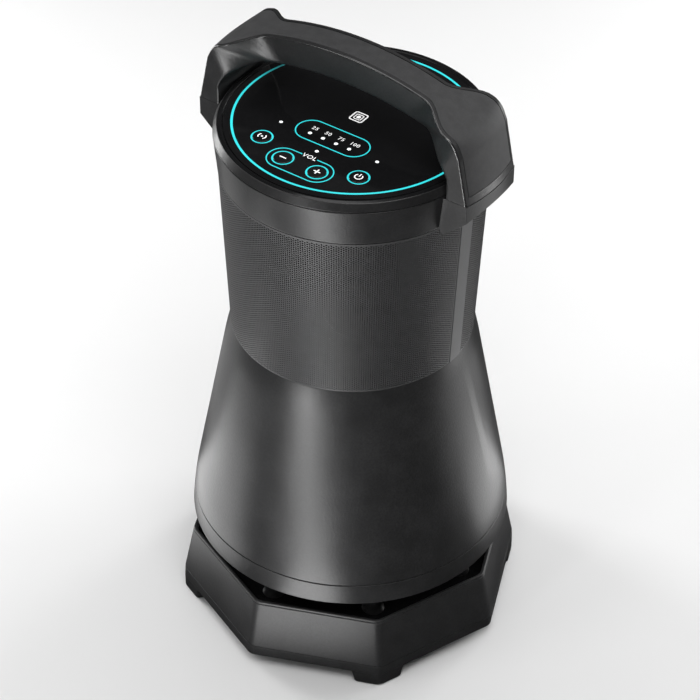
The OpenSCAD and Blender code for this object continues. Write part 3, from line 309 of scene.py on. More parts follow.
def settle(mesh, sharp):
    """Merges doubles, turns the faces outwards and marks edges sharper than an angle."""
    work = bmesh.new()
    work.from_mesh(mesh)
    bmesh.ops.remove_doubles(work, verts=work.verts, dist=2e-6)
    bmesh.ops.recalc_face_normals(work, faces=work.faces)
    work.to_mesh(mesh)
    work.free()
    mesh.shade_smooth()
    mesh.set_sharp_from_angle(angle=math.radians(sharp))


# ---------------------------------------------------------------- finishes


class Finish:
    """A procedural material with short ways to add and join its nodes."""

    def __init__(self, name):
        self.material = bpy.data.materials.new(name)
        self.material.use_nodes = True
        self.tree = self.material.node_tree
        self.shader = self.tree.nodes["Principled BSDF"]
        self.place = self.add("ShaderNodeTexCoord").outputs["Object"]

    def put(self, node, socket, value):
        """Sets a socket, or joins another node's output to it."""
        target = node.inputs[socket]
        if isinstance(value, bpy.types.NodeSocket):
            self.tree.links.new(value, target)
        else:
            target.default_value = value

    def add(self, kind, sockets=None, **settings):
        node = self.tree.nodes.new(kind)
        for key, value in settings.items():
            setattr(node, key, value)
        for key, value in (sockets or {}).items():
            self.put(node, key, value)
        return node

    def noise(self, size, detail=2.0, stretch=(1, 1, 1)):
        """Soft noise whose lumps are size millimetres across, longer along a stretched axis."""
        place = self.add("ShaderNodeMapping", {"Vector": self.place, "Scale": [1 / s for s in stretch]})
        found = self.add(
            "ShaderNodeTexNoise",
            {"Vector": place.outputs[0], "Scale": 1 / (size * MM), "Detail": detail, "Roughness": 0.6},
        )
        return found.outputs["Fac"]

    # Distance between a wave texture's ridges at scale 1
    RIDGE = 0.314

    def waves(self, size, direction):
        """Even ridges size millimetres apart along an axis."""
        sockets = {"Vector": self.place, "Scale": self.RIDGE / (size * MM)}
        return self.add("ShaderNodeTexWave", sockets, bands_direction=direction).outputs["Fac"]

    def between(self, value, low, high, from_low=0.3, from_high=0.7):
        """A value carried from one range to another."""
        found = self.add(
            "ShaderNodeMapRange",
            {"Value": value, "From Min": from_low, "From Max": from_high, "To Min": low, "To Max": high},
        )
        return found.outputs[0]

    def combined(self, a, b, operation="ADD"):
        found = self.add("ShaderNodeMath", operation=operation)
        self.put(found, 0, a)
        self.put(found, 1, b)
        return found.outputs[0]

    def shades(self, value, low, high, at=(0.3, 0.7)):
        """A colour that goes from low to high as a value rises."""
        ramp = self.add("ShaderNodeValToRGB", {"Fac": value})
        for stop, place, colour in zip(ramp.color_ramp.elements, at, (low, high)):
            stop.position, stop.color = place, (*colour, 1)
        return ramp.outputs["Color"]

    def colour(self, value):
        self.put(self.shader, "Base Color", value)

    def bumps(self, height, relief):
        """Relief in millimetres from a height between 0 and 1."""
        bump = self.add("ShaderNodeBump", {"Height": height, "Distance": relief * MM, "Strength": 1.0})
        self.put(self.shader, "Normal", bump.outputs["Normal"])

    def shine(self, **values):
        """Numbers that are the same all over go on the shader's own sockets."""
        for key, value in values.items():
            self.put(self.shader, key.replace("_", " "), value)

    def pattern(self, value, low, high, at, relief, **values):
        """One pattern that gives both the shade and the relief."""
        self.colour(self.shades(value, low, high, at))
        self.shine(**values)
        self.bumps(value, relief)


def tint(colour, factor):
    """Colour times a factor."""
    return tuple(min(1.0, c * factor) for c in colour)


def moulded(name, colour, roughness, grain=0.7, relief=0.02, mottle=0.2, patch=25.0, **shine):
    """Moulded or painted surface: shade and roughness wander over broad patches, fine grain is in relief."""
    finish, wander = Finish(name), 0.015
    broad, fine = finish.noise(patch, 3.0), finish.noise(grain, 2.0)
    both = finish.combined(broad, fine, "MULTIPLY")
    finish.colour(finish.shades(both, tint(colour, 1 - mottle), tint(colour, 1 + mottle), (0.12, 0.4)))
    finish.put(finish.shader, "Roughness", finish.between(broad, roughness - wander, roughness + wander))
    finish.bumps(fine, relief)
    finish.shine(**shine)


def drawn(name, colour, roughness, stretch):
    """Metal with fine lines left by turning or drawing, long along the stretched axes."""
    finish = Finish(name)
    lines = finish.noise(0.5, 3.0, stretch)
    finish.put(finish.shader, "Roughness", finish.between(lines, roughness - 0.08, roughness + 0.1))
    finish.pattern(lines, tint(colour, 0.8), tint(colour, 1.15), (0.3, 0.7), 0.01, Metallic=1.0)


def make_finishes(colours):
    """Every finish of the speaker, named after the record's material slots."""
    shell = tuple(colours.shell)
    moulded("shell_plastic", shell, 0.35, 1.5, 0.08, 0.3, Specular_IOR_Level=0.42)
    moulded("base_plastic", tint(shell, 1.1), 0.42, 1.5, 0.08, 0.3, Specular_IOR_Level=0.42)
    moulded("edge_polish", tint(shell, 1.2), 0.16, 1.2, 0.002, 0.08, Specular_IOR_Level=0.9)
    moulded("gloss_black", (0.0075, 0.0075, 0.008), 0.1, 2.5, 0.001, 0.15, 30.0, Specular_IOR_Level=0.35)
    moulded("grille_metal", tint(shell, 2.2), 0.5, 0.35, 0.012, 0.2, 6.0, Specular_IOR_Level=0.45)
    moulded("strip_plastic", (0.07, 0.07, 0.072), 0.55, 0.5, 0.02, 0.15, Specular_IOR_Level=0.45)
    moulded("soft_grip", tuple(colours.grip), 0.6, 0.5, 0.03, 0.25, 7.0, Specular_IOR_Level=0.35)
    moulded("foot_rubber", (0.018, 0.018, 0.018), 0.75, 0.4, 0.03, 0.2)
    moulded("surround_rubber", (0.02, 0.02, 0.021), 0.6, 0.5, 0.01, 0.2)
    moulded("ferrite", (0.06, 0.057, 0.055), 0.6, 0.4, 0.03, 0.25, Metallic=0.3)
    moulded("basket_metal", (0.05, 0.05, 0.052), 0.45, 0.5, 0.02, 0.2, Metallic=0.4)
    moulded("inner_plastic", (0.035, 0.035, 0.037), 0.5, 0.6, 0.015, 0.2)
    moulded("silicone", (0.3, 0.3, 0.31), 0.5, 0.6, 0.01, 0.12)
    moulded("cable_jacket", (0.03, 0.03, 0.032), 0.5, 0.4, 0.01, 0.2)
    moulded(
        "white_lens", (0.85, 0.87, 0.88), 0.35, 0.4, 0.004, 0.05,
        Emission_Color=(0.95, 1, 1, 1), Emission_Strength=0.75,
    )
    # The print's emission is a painted glow: the ink is no lamp.
    moulded(
        "white_print", (0.8, 0.8, 0.8), 0.5, 0.2, 0.002, 0.06,
        Emission_Color=(1, 1, 1, 1), Emission_Strength=0.55,
    )
    # The screws' steel is made nearly black: painted shade for the dark inside of the cabinet, where they show
    # through the grille.
    drawn("screw_steel", (0.07, 0.07, 0.073), 0.42, (6, 6, 1))
    drawn("yoke_steel", (0.45, 0.44, 0.42), 0.35, (1, 1, 8))
    drawn("socket_metal", (0.62, 0.62, 0.63), 0.25, (1, 8, 1))

    teal = tuple(colours.light)
    light = Finish("teal_light")
    # The lit lines go dim round one spot at the panel's far left: painted shade where the handle shadows the
    # ring.
    away = light.add("ShaderNodeVectorMath", {1: (-0.06, 0.052, 0.394)}, operation="DISTANCE")
    light.put(away, 0, light.place)
    painted_shade = light.between(away.outputs["Value"], 0.03, 1.0, 0.033, 0.062)
    glow = light.combined(light.between(light.noise(14.0, 1.0), 0.9, 1.1), painted_shade, "MULTIPLY")
    light.colour((*tint(teal, 0.35), 1))
    light.shine(Roughness=0.3, Emission_Color=(*teal, 1))
    light.put(light.shader, "Emission Strength", glow)
    light.bumps(light.noise(1.5), 0.005)

    paper = Finish("cone_paper")
    fibres = paper.combined(paper.noise(0.5, 4.0, (1, 4, 1)), paper.noise(0.5, 4.0, (4, 1, 1)))
    paper.pattern(fibres, (0.018, 0.018, 0.019), (0.045, 0.045, 0.047), (0.8, 1.2), 0.05, Roughness=0.8)

    cloth = Finish("spider_cloth")
    weave = cloth.combined(cloth.waves(0.7, "X"), cloth.waves(0.7, "Y"), "MULTIPLY")
    cloth.pattern(weave, (0.28, 0.2, 0.08), (0.6, 0.46, 0.22), (0, 1), 0.15, Roughness=0.85)

    coil = Finish("coil_copper")
    turns = coil.waves(0.35, "Z")
    coil.pattern(turns, (0.35, 0.12, 0.05), (0.85, 0.4, 0.2), (0, 1), 0.1, Roughness=0.3, Metallic=1.0)

    wrap = Finish("cell_wrap")
    creases = wrap.noise(3.0, 4.0, (1, 1, 5))
    wrap.pattern(creases, (0.01, 0.05, 0.2), (0.03, 0.12, 0.4), (0.3, 0.7), 0.03, Roughness=0.3)

    board = Finish("board_green")
    tracks = board.add("ShaderNodeTexBrick", {
        "Vector": board.place, "Scale": 250.0, "Mortar Size": 0.03, "Color1": (0.004, 0.06, 0.02, 1),
        "Color2": (0.006, 0.075, 0.028, 1), "Mortar": (0.012, 0.12, 0.045, 1),
    })
    board.colour(tracks.outputs["Color"])
    board.shine(Roughness=0.35)
    board.bumps(tracks.outputs["Fac"], 0.02)


# ---------------------------------------------------------------- pieces


class SpeakerOperator(bpy.types.Operator):
    """Makes some of the speaker's pieces"""

    bl_options = {"REGISTER", "UNDO"}

    def execute(self, context):
        self.make(context.scene.speaker_sizes)
        return {"FINISHED"}


class SPEAKER_OT_finishes(bpy.types.Operator):
    """Makes every finish and puts it on the frame's own nodes"""

    bl_idname = "speaker.finishes"
    bl_label = "Finishes"

    def execute(self, context):
        for node in frame["nodes"].values():
            node.data.materials.clear()
        for plain in list(bpy.data.materials):
            bpy.data.materials.remove(plain)
        make_finishes(context.scene.speaker_colours)
        for name, node in frame["nodes"].items():
            node.data.materials.append(bpy.data.materials[SLOT_OF[name]])
        return {"FINISHED"}


class SPEAKER_OT_base(SpeakerOperator):
    """Octagonal base: plate with four feet, sloping shell, glossy deck and eight pillars"""

    bl_idname = "speaker.base"
    bl_label = "Base"

    def make(self, sizes):
        bend_r = sizes.base_corner / MM
        inner_r = SEAM_R - BASE_WALL
        outline = rounded(
            [
                (0, PLATE_Z), (BASE_R, PLATE_Z), (SEAM_R, SEAM_Z), (inner_r, SEAM_Z), (inner_r, PLATE_TOP_Z),
                (0, PLATE_TOP_Z),
            ],
            [0, 0.9, 0.35, 0.2, 0.5, 0], closed=False,
        )
        plate = octagonal(outline, bend_r, closed=False)
        feet = [moved(self.foot(bend_r), math.radians(45 + 90 * k)) for k in range(4)]
        piece(
            "base_plate_moulding", joined(plate, *feet), "cabinet", "shell_plastic", ["base_plate"],
            ["base_plastic"],
        )

        slope = (RIM_R - SEAM_R) / (RIM_Z - SEAM_Z)
        deck_r = SEAM_R + slope * (DECK_Z - SEAM_Z) - BASE_WALL
        outline = rounded(
            [
                (SEAM_R - GROOVE, SEAM_Z), (SEAM_R - GROOVE, SEAM_Z + 0.5), (SEAM_R, SEAM_Z + 0.5),
                (RIM_R - slope * 2.3, RIM_Z - 2.3), (RIM_R - slope * 2.3 - 0.6, RIM_Z - 2.1),
                (RIM_R - slope * 1.7 - 0.6, RIM_Z - 1.8), (RIM_R - slope * 1.6, RIM_Z - 1.6), (RIM_R, RIM_Z),
                (RIM_R - 2.0, RIM_Z), (RIM_R - 2.8, RIM_Z - 0.9), (deck_r, DECK_Z - 2.9), (inner_r, SEAM_Z),
            ],
            [0, 0, 0.4, 0.25, 0.1, 0.1, 0.35, sizes.rim_round / MM, 0.5, 0.3, 0.2, 0.2],
        )
        piece(
            "base_shell_moulding", octagonal(outline, bend_r), "cabinet", "shell_plastic", ["base_shell"],
            ["base_plastic"],
        )
        edge_r, under_z = deck_r + 0.3, DECK_Z - 2.8
        deck = rounded([(0, under_z), (edge_r, under_z), (edge_r, DECK_Z), (0, DECK_Z)], 0.1, False)
        piece("deck_gloss", octagonal(deck, bend_r, closed=False), "cabinet", "gloss_black")

        column = rounded(
            [
                (0, DECK_Z), (8, DECK_Z), (6, DECK_Z + 4), (6, FLANGE_LOW_Z - 4), (8, FLANGE_LOW_Z),
                (0, FLANGE_LOW_Z),
            ],
            [0, 0.3, 2.6, 2.6, 0.3, 0], False,
        )
        spots = PILLAR_RING_R * around(np.radians(45.0 * np.arange(8)))
        columns = [moved(turned(column, False, 40), 0, (x, y, 0)) for x, y in spots]
        piece("pillar_columns", joined(*columns), "cabinet", "shell_plastic", ["pillars"])

    # Height of each ring of a foot, and how far it is drawn in
    FOOT_RINGS = (
        (FOOT_Z, 1.2), (FOOT_Z + 0.25, 0.5), (FOOT_Z + 0.8, 0.1), (1.8, 0), (8.6, 0), (9.5, -0.3), (10.3, -1.1),
    )

    def foot(self, bend_r):
        """Rings of a five-sided outline, half 16.2 wide at the floor and 18.4 at the plate, less the inset."""
        rows = []
        for z, inset in self.FOOT_RINGS:
            rise = (z - FOOT_Z) / (PLATE_Z - FOOT_Z)
            w = FOOT_LOW_HALF + (FOOT_TOP_HALF - FOOT_LOW_HALF) * rise - inset
            tip = BASE_R - max(inset, 0) * 1.08
            side = tip - abs(w) * math.tan(HALF_EIGHTH)
            low = FOOT_INNER_R + inset
            corners = [(low, -w), (side, -w), (tip, 0), (side, w), (low, w)]
            ring = rounded(corners, [1.5, 1.8, bend_r * 0.41, 1.8, 1.5])
            rows.append(np.column_stack([ring, np.full(len(ring), z)]))
        return lofted(np.array(rows))


class SPEAKER_OT_body(SpeakerOperator):
    """Bell-shaped cabinet with its skirt ring, rear opening and hinged cover"""

    bl_idname = "speaker.body"
    bl_label = "Cabinet"

    def make(self, sizes):
        gap = sizes.seam_gap / MM / 2
        z = np.linspace(SKIRT_Z, SKIRT_SEAM_Z - gap, 9)
        outer = np.column_stack([body_r(z), z])
        inner_r = float(body_r(FLANGE_TOP_Z)) - SKIRT_WALL
        corners = np.concatenate([outer, [
            (float(body_r(SKIRT_SEAM_Z)) - 2.0, SKIRT_SEAM_Z - gap), (inner_r, FLANGE_TOP_Z),
            (FLANGE_R, FLANGE_TOP_Z), (FLANGE_R, FLANGE_LOW_Z), (inner_r, FLANGE_LOW_Z),
            (float(body_r(SKIRT_Z)) - SKIRT_WALL, SKIRT_Z),
        ]])
        radii = np.r_[0.7, np.zeros(7), 0.45, 0.1, 0.1, 0.3, 0.3, 0.1, 0.5]
        ring = turned(rounded(corners, radii))
        piece("skirt_ring_moulding", ring, "cabinet", "shell_plastic", ["skirt_ring"])
        piece(
            "cabinet_bell", self.bell(SKIRT_SEAM_Z + gap), "cabinet", "shell_plastic", ["cabinet_shell"],
            sharp=40.0, soften=sizes.lip_round / MM, wall=CABINET_WALL,
        )
        self.cover()

    def bell(self, low_z):
        """Grid (body_r(z) sin a, body_r(z) cos a, z), with columns along x = 30 and x = -30 at the opening."""
        z = np.unique(np.r_[
            np.linspace(low_z, RECESS_LOW_Z, 6), np.linspace(RECESS_LOW_Z, RECESS_TOP_Z, 11),
            np.linspace(RECESS_TOP_Z, WAIST_Z, 40),
        ])
        r = body_r(z)
        inside, outside = 24, 216
        window = np.arcsin(RECESS_X / r)[:, None]
        share = np.linspace(-1, 1, inside + 1)[None, :]
        rest = np.linspace(0, 1, outside + 1)[None, 1:-1]
        angle = np.concatenate([window * share, window + (FULL - 2 * window) * rest], 1)
        cols = angle.shape[1]
        points = np.empty((len(z), cols, 3))
        points[..., 0] = r[:, None] * np.sin(angle)
        points[..., 1] = r[:, None] * np.cos(angle)
        points[..., 2] = z[:, None]
        faces = grid(len(z), cols, False, True)
        row, col = faces[:, 0] // cols, faces[:, 0] % cols
        open_z = (z[row] > RECESS_LOW_Z - 0.01) & (z[row] < RECESS_TOP_Z - 0.01)
        return points.reshape(-1, 3), [faces[~(open_z & (col < inside))]]

    def cover(self):
        """Plate with two notches for the hinge's lugs, on a hinge knuckle."""
        low, half = RECESS_LOW_Z + 0.4, RECESS_X - 0.4
        plates = [self.plate((low, NOTCH_Z), (-half, half), 25, 61, 0.0)]
        for ends in ((-half, -NOTCH_X[1]), (-NOTCH_X[0], NOTCH_X[0]), (NOTCH_X[1], half)):
            plates.append(self.plate((NOTCH_Z - 0.5, HINGE_Z), ends, 5, 13, 0.03))
        a = np.linspace(0, FULL, 33)[:-1]
        ring = KNUCKLE_R * around(a)
        ends = np.array([-12.0, -11.8, 11.8, 12.0])
        size = np.array([0.9, 1, 1, 0.9])[:, None, None]
        round_hinge = ring[None] * size + np.array([HINGE_Y, HINGE_Z])
        barrel = np.concatenate([np.broadcast_to(ends[:, None, None], (4, 32, 1)), round_hinge], -1)
        piece(
            "port_cover_flap", joined(*plates, lofted(barrel)), "cover", "foot_rubber", ["port_cover"],
            sharp=40.0, soften=0.35,
        )

    def plate(self, heights, ends, rows, cols, inset):
        """Surface (x, sqrt((body_r(z) - 0.2 - inset)^2 - x^2), z), with a scoop and a soft bead, 2.3 thick."""
        low, half = RECESS_LOW_Z + 0.4, RECESS_X - 0.4
        z, x = np.meshgrid(np.linspace(*heights, rows), np.linspace(*ends, cols), indexing="ij")
        edge = np.minimum(half - np.abs(x), np.minimum(z - low, HINGE_Z - z))
        bead = 0.35 * np.exp(-((edge - 2.6) / 0.45) ** 2)
        scoop = 1.1 * np.exp(-((x / 7) ** 4) - ((z - low - 2.2) / 2.0) ** 2)
        r = body_r(z) - 0.2 - inset
        outer = np.stack([x, np.sqrt((r - bead - scoop) ** 2 - x * x), z], -1)
        inner = np.stack([x, np.sqrt((r - 2.3 + 2 * inset) ** 2 - x * x), z], -1)
        return slab(outer, inner)


class SPEAKER_OT_grille(SpeakerOperator):
    """Perforated sheet in two halves, with an upright strip over each joint"""

    bl_idname = "speaker.grille"
    bl_label = "Grille"

    def make(self, sizes):
        span = math.pi - 2 * SHEET_EDGE_ANGLE
        column = sizes.hole_pitch / MM * math.sqrt(3) / 2 / PITCH_R
        columns = int(round(span / column))
        for half, start in (("front", math.pi), ("rear", 0.0)):
            for part in range(3):
                first, last = (columns + 1) * part // 3, (columns + 1) * (part + 1) // 3
                shell = self.perforated(
                    first, last, columns, start + SHEET_EDGE_ANGLE, span / columns,
                    sizes.hole_pitch / MM, sizes.hole_radius / MM,
                )
                node = [f"grille_{half}"] if part == 0 else []
                piece(f"grille_{half}_sheet_{part}", shell, "cabinet", "grille_metal", node, sharp=45.0)
        z = np.linspace(WAIST_Z + 0.1, GRILLE_TOP_Z - 0.1, 40)[:, None]
        angle = np.linspace(-STRIP_HALF_ANGLE, STRIP_HALF_ANGLE, 9)[None, :]
        for side, turn in (("right", 0.0), ("left", math.pi)):
            outer, inner = (on_grille(angle + turn, z, out) for out in (0.4, -SHEET))
            piece(
                f"joint_strip_{side}", slab(outer, inner), "cabinet", "strip_plastic", [f"grille_strip_{side}"],
                soften=0.3, sharp=40.0,
            )

    def perforated(self, first, last, columns, start, step, pitch, hole_r):
        """Six-sided cells on a staggered lattice, each with a six-sided hole, on the cone r = grille_r(z).

        In thirds of a column and halves of a row, cell (j, k) has its middle at (3 j, 2 k + j mod 2) and
        its corners at (+-2, 0) and (+-1, +-1) from there. Corners past the sheet's edge are held at it."""
        low_z, top_z = WAIST_Z + 0.1, GRILLE_TOP_Z - 0.1
        rows = int((top_z - low_z) / pitch) + 3
        j, k = (a.ravel() for a in np.meshgrid(np.arange(first, last), np.arange(-1, rows), indexing="ij"))
        u, v = 3 * j, 2 * k + j % 2
        corner_u, corner_v = np.array([2, 1, -1, -2, -1, 1]), np.array([0, 1, 1, 0, -1, -1])
        margin = 0.25 * pitch
        high = low_z + margin + v * pitch / 2
        keep = (high > low_z - pitch / 2) & (high < top_z + pitch / 2)
        u, v, high = u[keep], v[keep], high[keep]
        cell_u, cell_v = u[:, None] + corner_u, v[:, None] + corner_v
        wide = cell_v.max() + 3
        keys, number = np.unique((cell_u + 3) * (2 * wide) + cell_v + wide // 2, return_inverse=True)
        number = number.reshape(cell_u.shape)
        place_u = keys // (2 * wide) - 3
        place_v = keys % (2 * wide) - wide // 2
        angle = start + np.clip(place_u / 3, 0, columns) * step
        z = np.clip(low_z + margin + place_v * pitch / 2, low_z, top_z)
        brim = hole_r + 0.6
        edge = (u < 3) | (u > 3 * (columns - 1)) | (high < low_z + brim) | (high > top_z - brim)
        pierced, plain = number[~edge], number[edge]
        hole = hole_r * around(np.arange(6) * FULL / 6)
        hole_z = high[~edge][:, None] + hole[:, 1]
        hole_angle = start + u[~edge][:, None] / 3 * step + hole[:, 0] / grille_r(hole_z)
        angle = np.concatenate([angle, hole_angle.ravel()])
        z = np.concatenate([z, hole_z.ravel()])
        inner = len(keys) + np.arange(hole_z.size).reshape(-1, 6)
        count = len(z)
        layers = [on_grille(angle, z, out) for out in (0, -SHEET)]
        following = np.roll(np.arange(6), -1)
        ahead = inner[:, following]
        front = np.stack([pierced, pierced[:, following], ahead, inner], -1).reshape(-1, 4)
        walls = np.stack([inner, ahead, ahead + count, inner + count], -1).reshape(-1, 4)
        a, b = number.ravel(), number[:, following].ravel()
        rim = ~np.isin(a * len(keys) + b, b * len(keys) + a)
        rim_wall = np.stack([b[rim], a[rim], a[rim] + count, b[rim] + count], -1)
        faces = [front, front[:, ::-1] + count, plain, plain[:, ::-1] + count, walls, rim_wall]
        return np.concatenate(layers), faces


class SPEAKER_OT_top(SpeakerOperator):
    """Top housing, bezel, light ring, lit outlines, indicator lights and the panel's print"""

    bl_idname = "speaker.top"
    bl_label = "Control top"

    def make(self, sizes):
        gap = sizes.seam_gap / MM / 2
        inner_r = BAND_LOW_R - TOP_WALL
        housing = rounded(
            [
                (inner_r, GRILLE_TOP_Z + gap), (BAND_LOW_R, GRILLE_TOP_Z + gap), (BAND_TOP_R, BAND_TOP_Z - gap),
                (BAND_TOP_R - TOP_WALL, BAND_TOP_Z - gap), (inner_r + 0.8, FLOOR_TOP_Z), (0.0, FLOOR_TOP_Z),
                (0.0, FLOOR_LOW_Z), (inner_r, FLOOR_LOW_Z),
            ],
            [0.2, 0.7, 0.55, 0.2, 0.2, 0, 0, 0.1],
        )
        piece("top_housing_band", turned(housing), "cabinet", "shell_plastic", ["top_housing"])
        lip_r, groove_r = BAND_TOP_R - TOP_WALL - 0.4, BAND_TOP_R - GROOVE
        rim = [
            (BEZEL_INNER_R, BAND_TOP_Z - 1), (lip_r, BAND_TOP_Z - 1), (lip_r, BAND_TOP_Z),
            (groove_r, BAND_TOP_Z), (groove_r, BAND_TOP_Z + 0.3), (BAND_TOP_R, BAND_TOP_Z + GROOVE),
            (CROWN_R + 0.9, CROWN_Z - 0.7), (PANEL_R + 1.5, PANEL_Z + 0.05), (PANEL_R + 0.5, PANEL_Z - 0.1),
            (PANEL_R + 0.5, PANEL_LOW_Z - 0.1), (BEZEL_INNER_R, PANEL_LOW_Z - 0.1),
        ]
        rim = rounded(rim, [0, 0, 0, 0, 0, 0.3, 0.4, 0.3, 0.2, 0, 0])
        polished = np.repeat((rim[:, 0] < CROWN_R + 0.5) & (rim[:, 1] > CROWN_Z - 0.7), RING)
        piece(
            "bezel_rim", turned(rim), "cabinet", "shell_plastic", ["top_bezel"],
            ["shell_plastic", "gloss_black"], polished,
        )
        low, top = PANEL_Z - 1.2, PANEL_Z + 0.1
        near, far = LIGHT_RING_R - 0.75, LIGHT_RING_R + 0.75
        ring = rounded([(near, low), (far, low), (far, top), (near, top)], [0, 0, 0.15, 0.15], steps=3)
        piece("light_ring_strip", turned(ring), "cabinet", "teal_light", ["light_ring"])
        near, far = BUTTON_R + 0.35, BUTTON_LIGHT_R
        collar = rounded([(near, 389), (far, 389), (far, top), (near, top)], [0, 0, 0.12, 0.12], steps=3)
        guides = [moved(turned(collar, steps=64), 0, (x, y, 0)) for x, y in BUTTONS.values()]
        battery = self.stadium(16, -24, STADIUM_R)
        x, y = BUTTONS["volume_up"]
        volume = self.stadium(x, y, STADIUM_R)
        # From the top round to the left, open above the middle where the label stands
        turn = np.mod(np.arctan2(volume[:, 1] - y, volume[:, 0]) - math.pi / 2, FULL)
        volume = volume[np.argsort(turn)]
        volume = volume[~((np.abs(volume[:, 0]) < VOLUME_GAP) & (volume[:, 1] > y))]
        lines = joined(*guides, ribbon(battery, 0.7, low, top, True), ribbon(volume, 0.7, low, top))
        piece("lit_outlines", lines, "cabinet", "teal_light", ["light_guides"])
        dots = [(x, -27.4, DOT_R) for x in (-15, -5, 5, 15)]
        dots += [(x, y, SMALL_DOT_R) for x, y in ((-36.9, -28.3), (36.9, -28.3), (0, -41))]
        lenses = []
        for x, y, r in dots:
            outline = [(0, PANEL_LOW_Z), (r, PANEL_LOW_Z), (r, top), (0, top + 0.05)]
            lens = turned(rounded(outline, [0, 0, 0.3, 0], False, 4), False, 32)
            lenses.append(moved(lens, 0, (x, y, 0)))
        piece("indicator_dots", joined(*lenses), "cabinet", "white_lens", ["indicator_lenses"])
        self.printing()

    def stadium(self, x, y, r):
        """Half circles of radius r round (-x, y) and (x, y), joined by straight lines."""
        a = np.linspace(-math.pi / 2, math.pi / 2, 33)
        right = r * around(a) + (x, y)
        left = r * around(a + math.pi) + (-x, y)
        line = np.linspace(x, -x, 41)[1:-1]
        top = np.column_stack([line, np.full(len(line), y + r)])
        return np.concatenate([right, top, left, np.column_stack([line[::-1], np.full(len(line), y - r)])])

    def printing(self):
        """Raised ink on the panel: charge figures, the volume label and a plain tap mark."""
        low, top = PANEL_Z - 0.02, PANEL_Z + 0.06
        mark = rounded([(-4.6, 0), (4.6, 0), (4.6, 9.2), (-4.6, 9.2)], 1.6)
        dot = rounded([(0, low), (1.5, low), (1.5, top), (0, top)], 0, False, 3)
        inner = rounded([(-2.6, 2), (2.6, 2), (2.6, 7.2), (-2.6, 7.2)], 1.0)
        ink = joined(
            ribbon(mark, 0.9, low, top, True), ribbon(inner, 0.65, low, top, True),
            moved(turned(dot, False, 24), 0, (0, 4.6, 0)),
        )
        obj = piece("panel_print", ink, "cabinet", "white_lens", finishes=["white_print"])
        work = bmesh.new()
        work.from_mesh(obj.data)
        figures = (("25", -15), ("50", -5), ("75", 5), ("100", 15.4))
        labels = [(text, 3.5, x, -21.6) for text, x in figures] + [("VOL", 4.1, 0, -48.7)]
        for text, size, x, y in labels:
            letters = lettering(text, size)
            letters.transform(Matrix.Translation(Vector((x, y, PANEL_Z + 0.02)) * MM))
            work.from_mesh(letters)
        work.to_mesh(obj.data)
        work.free()


def lettering(text, size):
    """A word as a thin solid mesh, its middle at the origin."""
    curve = bpy.data.curves.new("label", "FONT")
    curve.body, curve.size = text, size * MM * 1.25
    curve.align_x, curve.align_y = "CENTER", "CENTER"
    curve.extrude, curve.resolution_u, curve.space_character = 0.04 * MM, 4, 1.12
    obj = placed("label", curve)
    graph = bpy.context.evaluated_depsgraph_get()
    mesh = bpy.data.meshes.new_from_object(obj.evaluated_get(graph))
    bpy.data.objects.remove(obj)
    return mesh


class SPEAKER_OT_buttons(SpeakerOperator):
    """Four glossy buttons, each with its raised icon"""

    bl_idname = "speaker.buttons"
    bl_label = "Buttons"

    def make(self, sizes):
        stem_r, stem_z = 2, COLLAR_LOW_Z - 0.8
        cap = rounded(
            [
                (0, stem_z), (stem_r, stem_z), (stem_r, COLLAR_LOW_Z), (COLLAR_R, COLLAR_LOW_Z),
                (COLLAR_R, COLLAR_TOP_Z), (BUTTON_R, COLLAR_TOP_Z), (BUTTON_R, BUTTON_Z), (0, BUTTON_Z),
            ],
            [0, 0.1, 0, 0.2, 0.2, 0, 0.45, 0], False,
        )
        icons = {
            "pairing": self.broadcast(), "volume_down": [self.bar(0)],
            "volume_up": [self.bar(0), self.bar(math.pi / 2)], "power": self.switch(),
        }
        for name, (x, y) in BUTTONS.items():
            disc = moved(turned(cap, False, 64), 0, (x, y, 0))
            icon = moved(joined(*icons[name]), 0, (x, y, 0))
            piece(f"{name}_cap", disc, name, "gloss_black", [f"{name}_button"])
            piece(f"{name}_icon", icon, name, "white_lens", finishes=["white_print"])

    def stroke(self, path, width=0.68):
        return ribbon(path, width, BUTTON_Z - 0.02, BUTTON_Z + 0.05)

    def bar(self, angle):
        """Straight stroke through the middle."""
        return self.stroke(np.linspace(-2.4, 2.4, 5)[:, None] * around(angle)[None, :], width=0.8)

    def switch(self):
        """Open circle from 40 degrees past the top round to 40 degrees before it, and an upright stroke."""
        a = np.linspace(math.radians(130), math.radians(410), 41)
        return [self.stroke(2.5 * around(a)), self.stroke([(0, 0.2), (0, 1.6), (0, 3.2)])]

    def broadcast(self):
        """A dot with an arc of radius 2.6 on each side."""
        a = np.linspace(-0.85, 0.85, 17)
        arcs = [self.stroke(2.6 * around(a + side), width=0.7) for side in (0, math.pi)]
        return arcs + [self.stroke([(0, -0.6), (0, 0), (0, 0.6)], width=1.2)]


def half_width(x):
    """12.3 in the bar, and a soft step from 60 to 85 out to 27.5 in the leg."""
    return 12.3 + 15.2 * smoothstep((np.abs(x) - 60) / 25)


